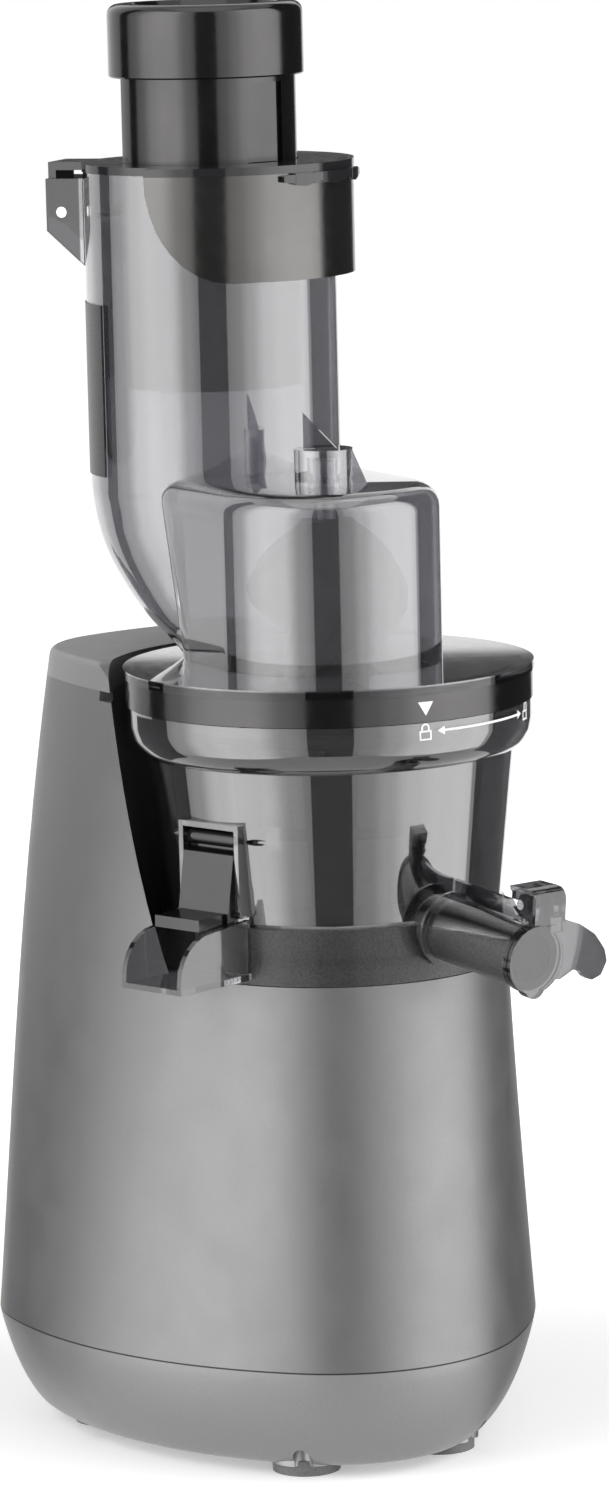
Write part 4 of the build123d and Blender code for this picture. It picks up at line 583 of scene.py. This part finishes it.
def floor_material():
    """Pale floor that keeps the object's shadow and is otherwise as white as the backdrop."""
    made = Maker("floor_white", Roughness=0.7)
    made.shader.inputs["Base Color"].default_value = (0.9, 0.9, 0.9, 1.0)
    made.shader.inputs["Specular IOR Level"].default_value = 0.1
    path = made.node("ShaderNodeLightPath")
    seen = made.node("ShaderNodeMath", operation="MAXIMUM")
    made.link(path.outputs["Is Camera Ray"], seen.inputs[0])
    made.link(path.outputs["Is Transmission Ray"], seen.inputs[1])
    made.shader.inputs["Emission Color"].default_value = (1.0, 1.0, 1.0, 1.0)
    away = made.node("ShaderNodeVectorMath", operation="LENGTH")
    made.link(made.place, away.inputs[0])
    need = made.span(away.outputs["Value"], FLOOR_NEAR, FLOOR_FAR, FLOOR_LIFT_NEAR, FLOOR_LIFT)
    lift = made.node("ShaderNodeMath", operation="MULTIPLY")
    made.link(need, lift.inputs[0])
    made.link(seen.outputs[0], lift.inputs[1])
    made.link(lift.outputs[0], made.shader.inputs["Emission Strength"])
    return made.material


def area(name, place, size, power, aim):
    data = bpy.data.lights.new(name, "AREA")
    data.shape = "RECTANGLE"
    data.size, data.size_y = size
    data.energy = power
    item = bpy.data.objects.new(name, data)
    bpy.context.collection.objects.link(item)
    item.location = place
    item.rotation_euler = (Vector(aim) - Vector(place)).to_track_quat("-Z", "Y").to_euler()
    return item


SOFTBOX = {  # brightness across the left and the right one, from the inner edge out
    -1: (
        (0.0, 0.03), (0.18, 0.24), (0.38, 0.95), (0.55, 1.0), (0.68, 0.8), (0.88, 0.16), (1.0, 0.06),
    ),
    1: (
        (0.0, 0.03), (0.16, 0.12), (0.3, 0.42), (0.45, 0.85), (0.6, 1.0), (0.8, 0.9), (0.97, 0.7),
        (1.0, 0.3),
    ),
}


def fade(lamp, side):
    """Gives a softbox its soft edges and brighter middle."""
    lamp.data.use_nodes = True
    tree = lamp.data.node_tree
    place = tree.nodes.new("ShaderNodeNewGeometry")
    split = tree.nodes.new("ShaderNodeSeparateXYZ")
    ramp = tree.nodes.new("ShaderNodeValToRGB")
    ramp.color_ramp.interpolation = "EASE"
    stops = ramp.color_ramp.elements
    across = sorted((1 - at if side < 0 else at, level) for at, level in SOFTBOX[side])
    while len(stops) < len(across):
        stops.new(0.5)
    for stop, (at, level) in zip(stops, across):
        stop.position = at
    for stop, (at, level) in zip(stops, across):
        stop.color = (level, level, level, 1.0)
    tree.links.new(place.outputs["Parametric"], split.inputs["Vector"])
    tree.links.new(split.outputs["X"], ramp.inputs["Fac"])
    tree.links.new(ramp.outputs["Color"], tree.nodes["Emission"].inputs["Strength"])


def make_world():
    """White where the camera sees it, also mirrored or through clear plastic; else a plain level."""
    world = bpy.data.worlds.new("studio")
    bpy.context.scene.world = world
    world.use_nodes = True
    tree = world.node_tree
    back = tree.nodes["Background"]
    back.inputs["Color"].default_value = (1.0, 1.0, 1.0, 1.0)
    path = tree.nodes.new("ShaderNodeLightPath")
    seen = path.outputs["Is Camera Ray"]
    for other in ("Is Glossy Ray", "Is Transmission Ray"):
        both = tree.nodes.new("ShaderNodeMath")
        both.operation = "MAXIMUM"
        tree.links.new(seen, both.inputs[0])
        tree.links.new(path.outputs[other], both.inputs[1])
        seen = both.outputs[0]
    level = tree.nodes.new("ShaderNodeMapRange")
    level.inputs["To Min"].default_value = WORLD_LEVEL
    level.inputs["To Max"].default_value = 1.0
    tree.links.new(seen, level.inputs["Value"])
    tree.links.new(level.outputs["Result"], back.inputs["Strength"])


def around(degrees, distance, height):
    """A place round the drive axis; 0 degrees is towards the camera and 90 to its right."""
    turn = radians(degrees)
    flat = cos(turn) * view_back + sin(turn) * view_side
    return Vector((AXIS.x, AXIS.y, height)) + distance * flat


def card(name, start, end, distance, low, high, tone, steps=12):
    """Curved dark card round the object, in metres, that only reflections see."""
    turns = [start + (end - start) * i / steps for i in range(steps + 1)]
    corners = [around(t, distance, h) for t in turns for h in (low, high)]
    faces = [(2 * i, 2 * i + 2, 2 * i + 3, 2 * i + 1) for i in range(steps)]
    mesh = bpy.data.meshes.new(name)
    mesh.from_pydata(corners, [], faces)
    item = bpy.data.objects.new(name, mesh)
    bpy.context.collection.objects.link(item)
    made = Maker(name, Roughness=1.0)
    made.shader.inputs["Base Color"].default_value = (0, 0, 0, 1)
    made.shader.inputs["Specular IOR Level"].default_value = 0.0
    made.shader.inputs["Emission Color"].default_value = (1, 1, 1, 1)
    made.shader.inputs["Emission Strength"].default_value = tone
    item.data.materials.append(made.material)
    item.visible_camera = item.visible_diffuse = False
    item.visible_transmission = item.visible_shadow = False


bpy.context.scene.view_settings.view_transform = "Standard"
WORLD_LEVEL = 0.3
LAMP_TURN = 57
LAMP_AT = 1.2
LAMP_W = 2.3
LAMP_H = 2.5
LAMP_MIDDLE = 0.6
LAMP_LEVEL = 2.7
TOP_POWER = 4.0
TOP_SIDE = 1.4
TOP_AIM = 0.27
CARD_FROM = 104  # where the softboxes end, in degrees from the camera
LEFT_CARD_TO = 119
BOWL_CARD_TO = 140  # low on the left the card goes on: the bowl mirrors it, the dome doesn't
RIGHT_CARD_TO = 160
CARD_AT = 1.7
CARD_LOW = -1.0  # under the table, which reflections don't see
CARD_TONE = 0.04

quarters = ((-1, -1), (1, -1), (1, 1), (-1, 1))
floor_corners = [(sx * FLOOR_HALF, sy * FLOOR_HALF, 0) for sx, sy in quarters]
floor = stage_plane("floor", floor_corners, floor_material())
floor.visible_glossy = False  # gloss shows the lamps and the white backdrop down to the object's foot
make_world()
view_side = Vector((cos(VIEW_AZIMUTH), sin(VIEW_AZIMUTH), 0))
view_back = Vector((sin(VIEW_AZIMUTH), -cos(VIEW_AZIMUTH), 0))
for name, side, card_to in (("left", -1, LEFT_CARD_TO), ("right", 1, RIGHT_CARD_TO)):
    place = around(side * LAMP_TURN, LAMP_AT, LAMP_MIDDLE)
    power = LAMP_LEVEL * pi * LAMP_W * LAMP_H
    lamp = area(name + "_softbox", place, (LAMP_W, LAMP_H), power, (AXIS.x, AXIS.y, LAMP_MIDDLE))
    fade(lamp, side)
    card(name + "_card", side * CARD_FROM, side * card_to, CARD_AT, CARD_LOW, 2.2, CARD_TONE)
card("front_card", -13, 13, 1.9, CARD_LOW, 2.4, 0.08)
card("bowl_left_card", -LEFT_CARD_TO, -BOWL_CARD_TO, CARD_AT, CARD_LOW, 0.015, CARD_TONE)
card("back_card", 166, 194, 1.75, 0.54, 0.9, 0.05)  # darkens the front half of the lid's disc
target = Vector((AXIS.x, AXIS.y, TOP_AIM))
top_place = target + Vector((0, 0, 1.7)) + view_back * 0.3
area("top", top_place, (TOP_SIDE, TOP_SIDE), TOP_POWER, target)
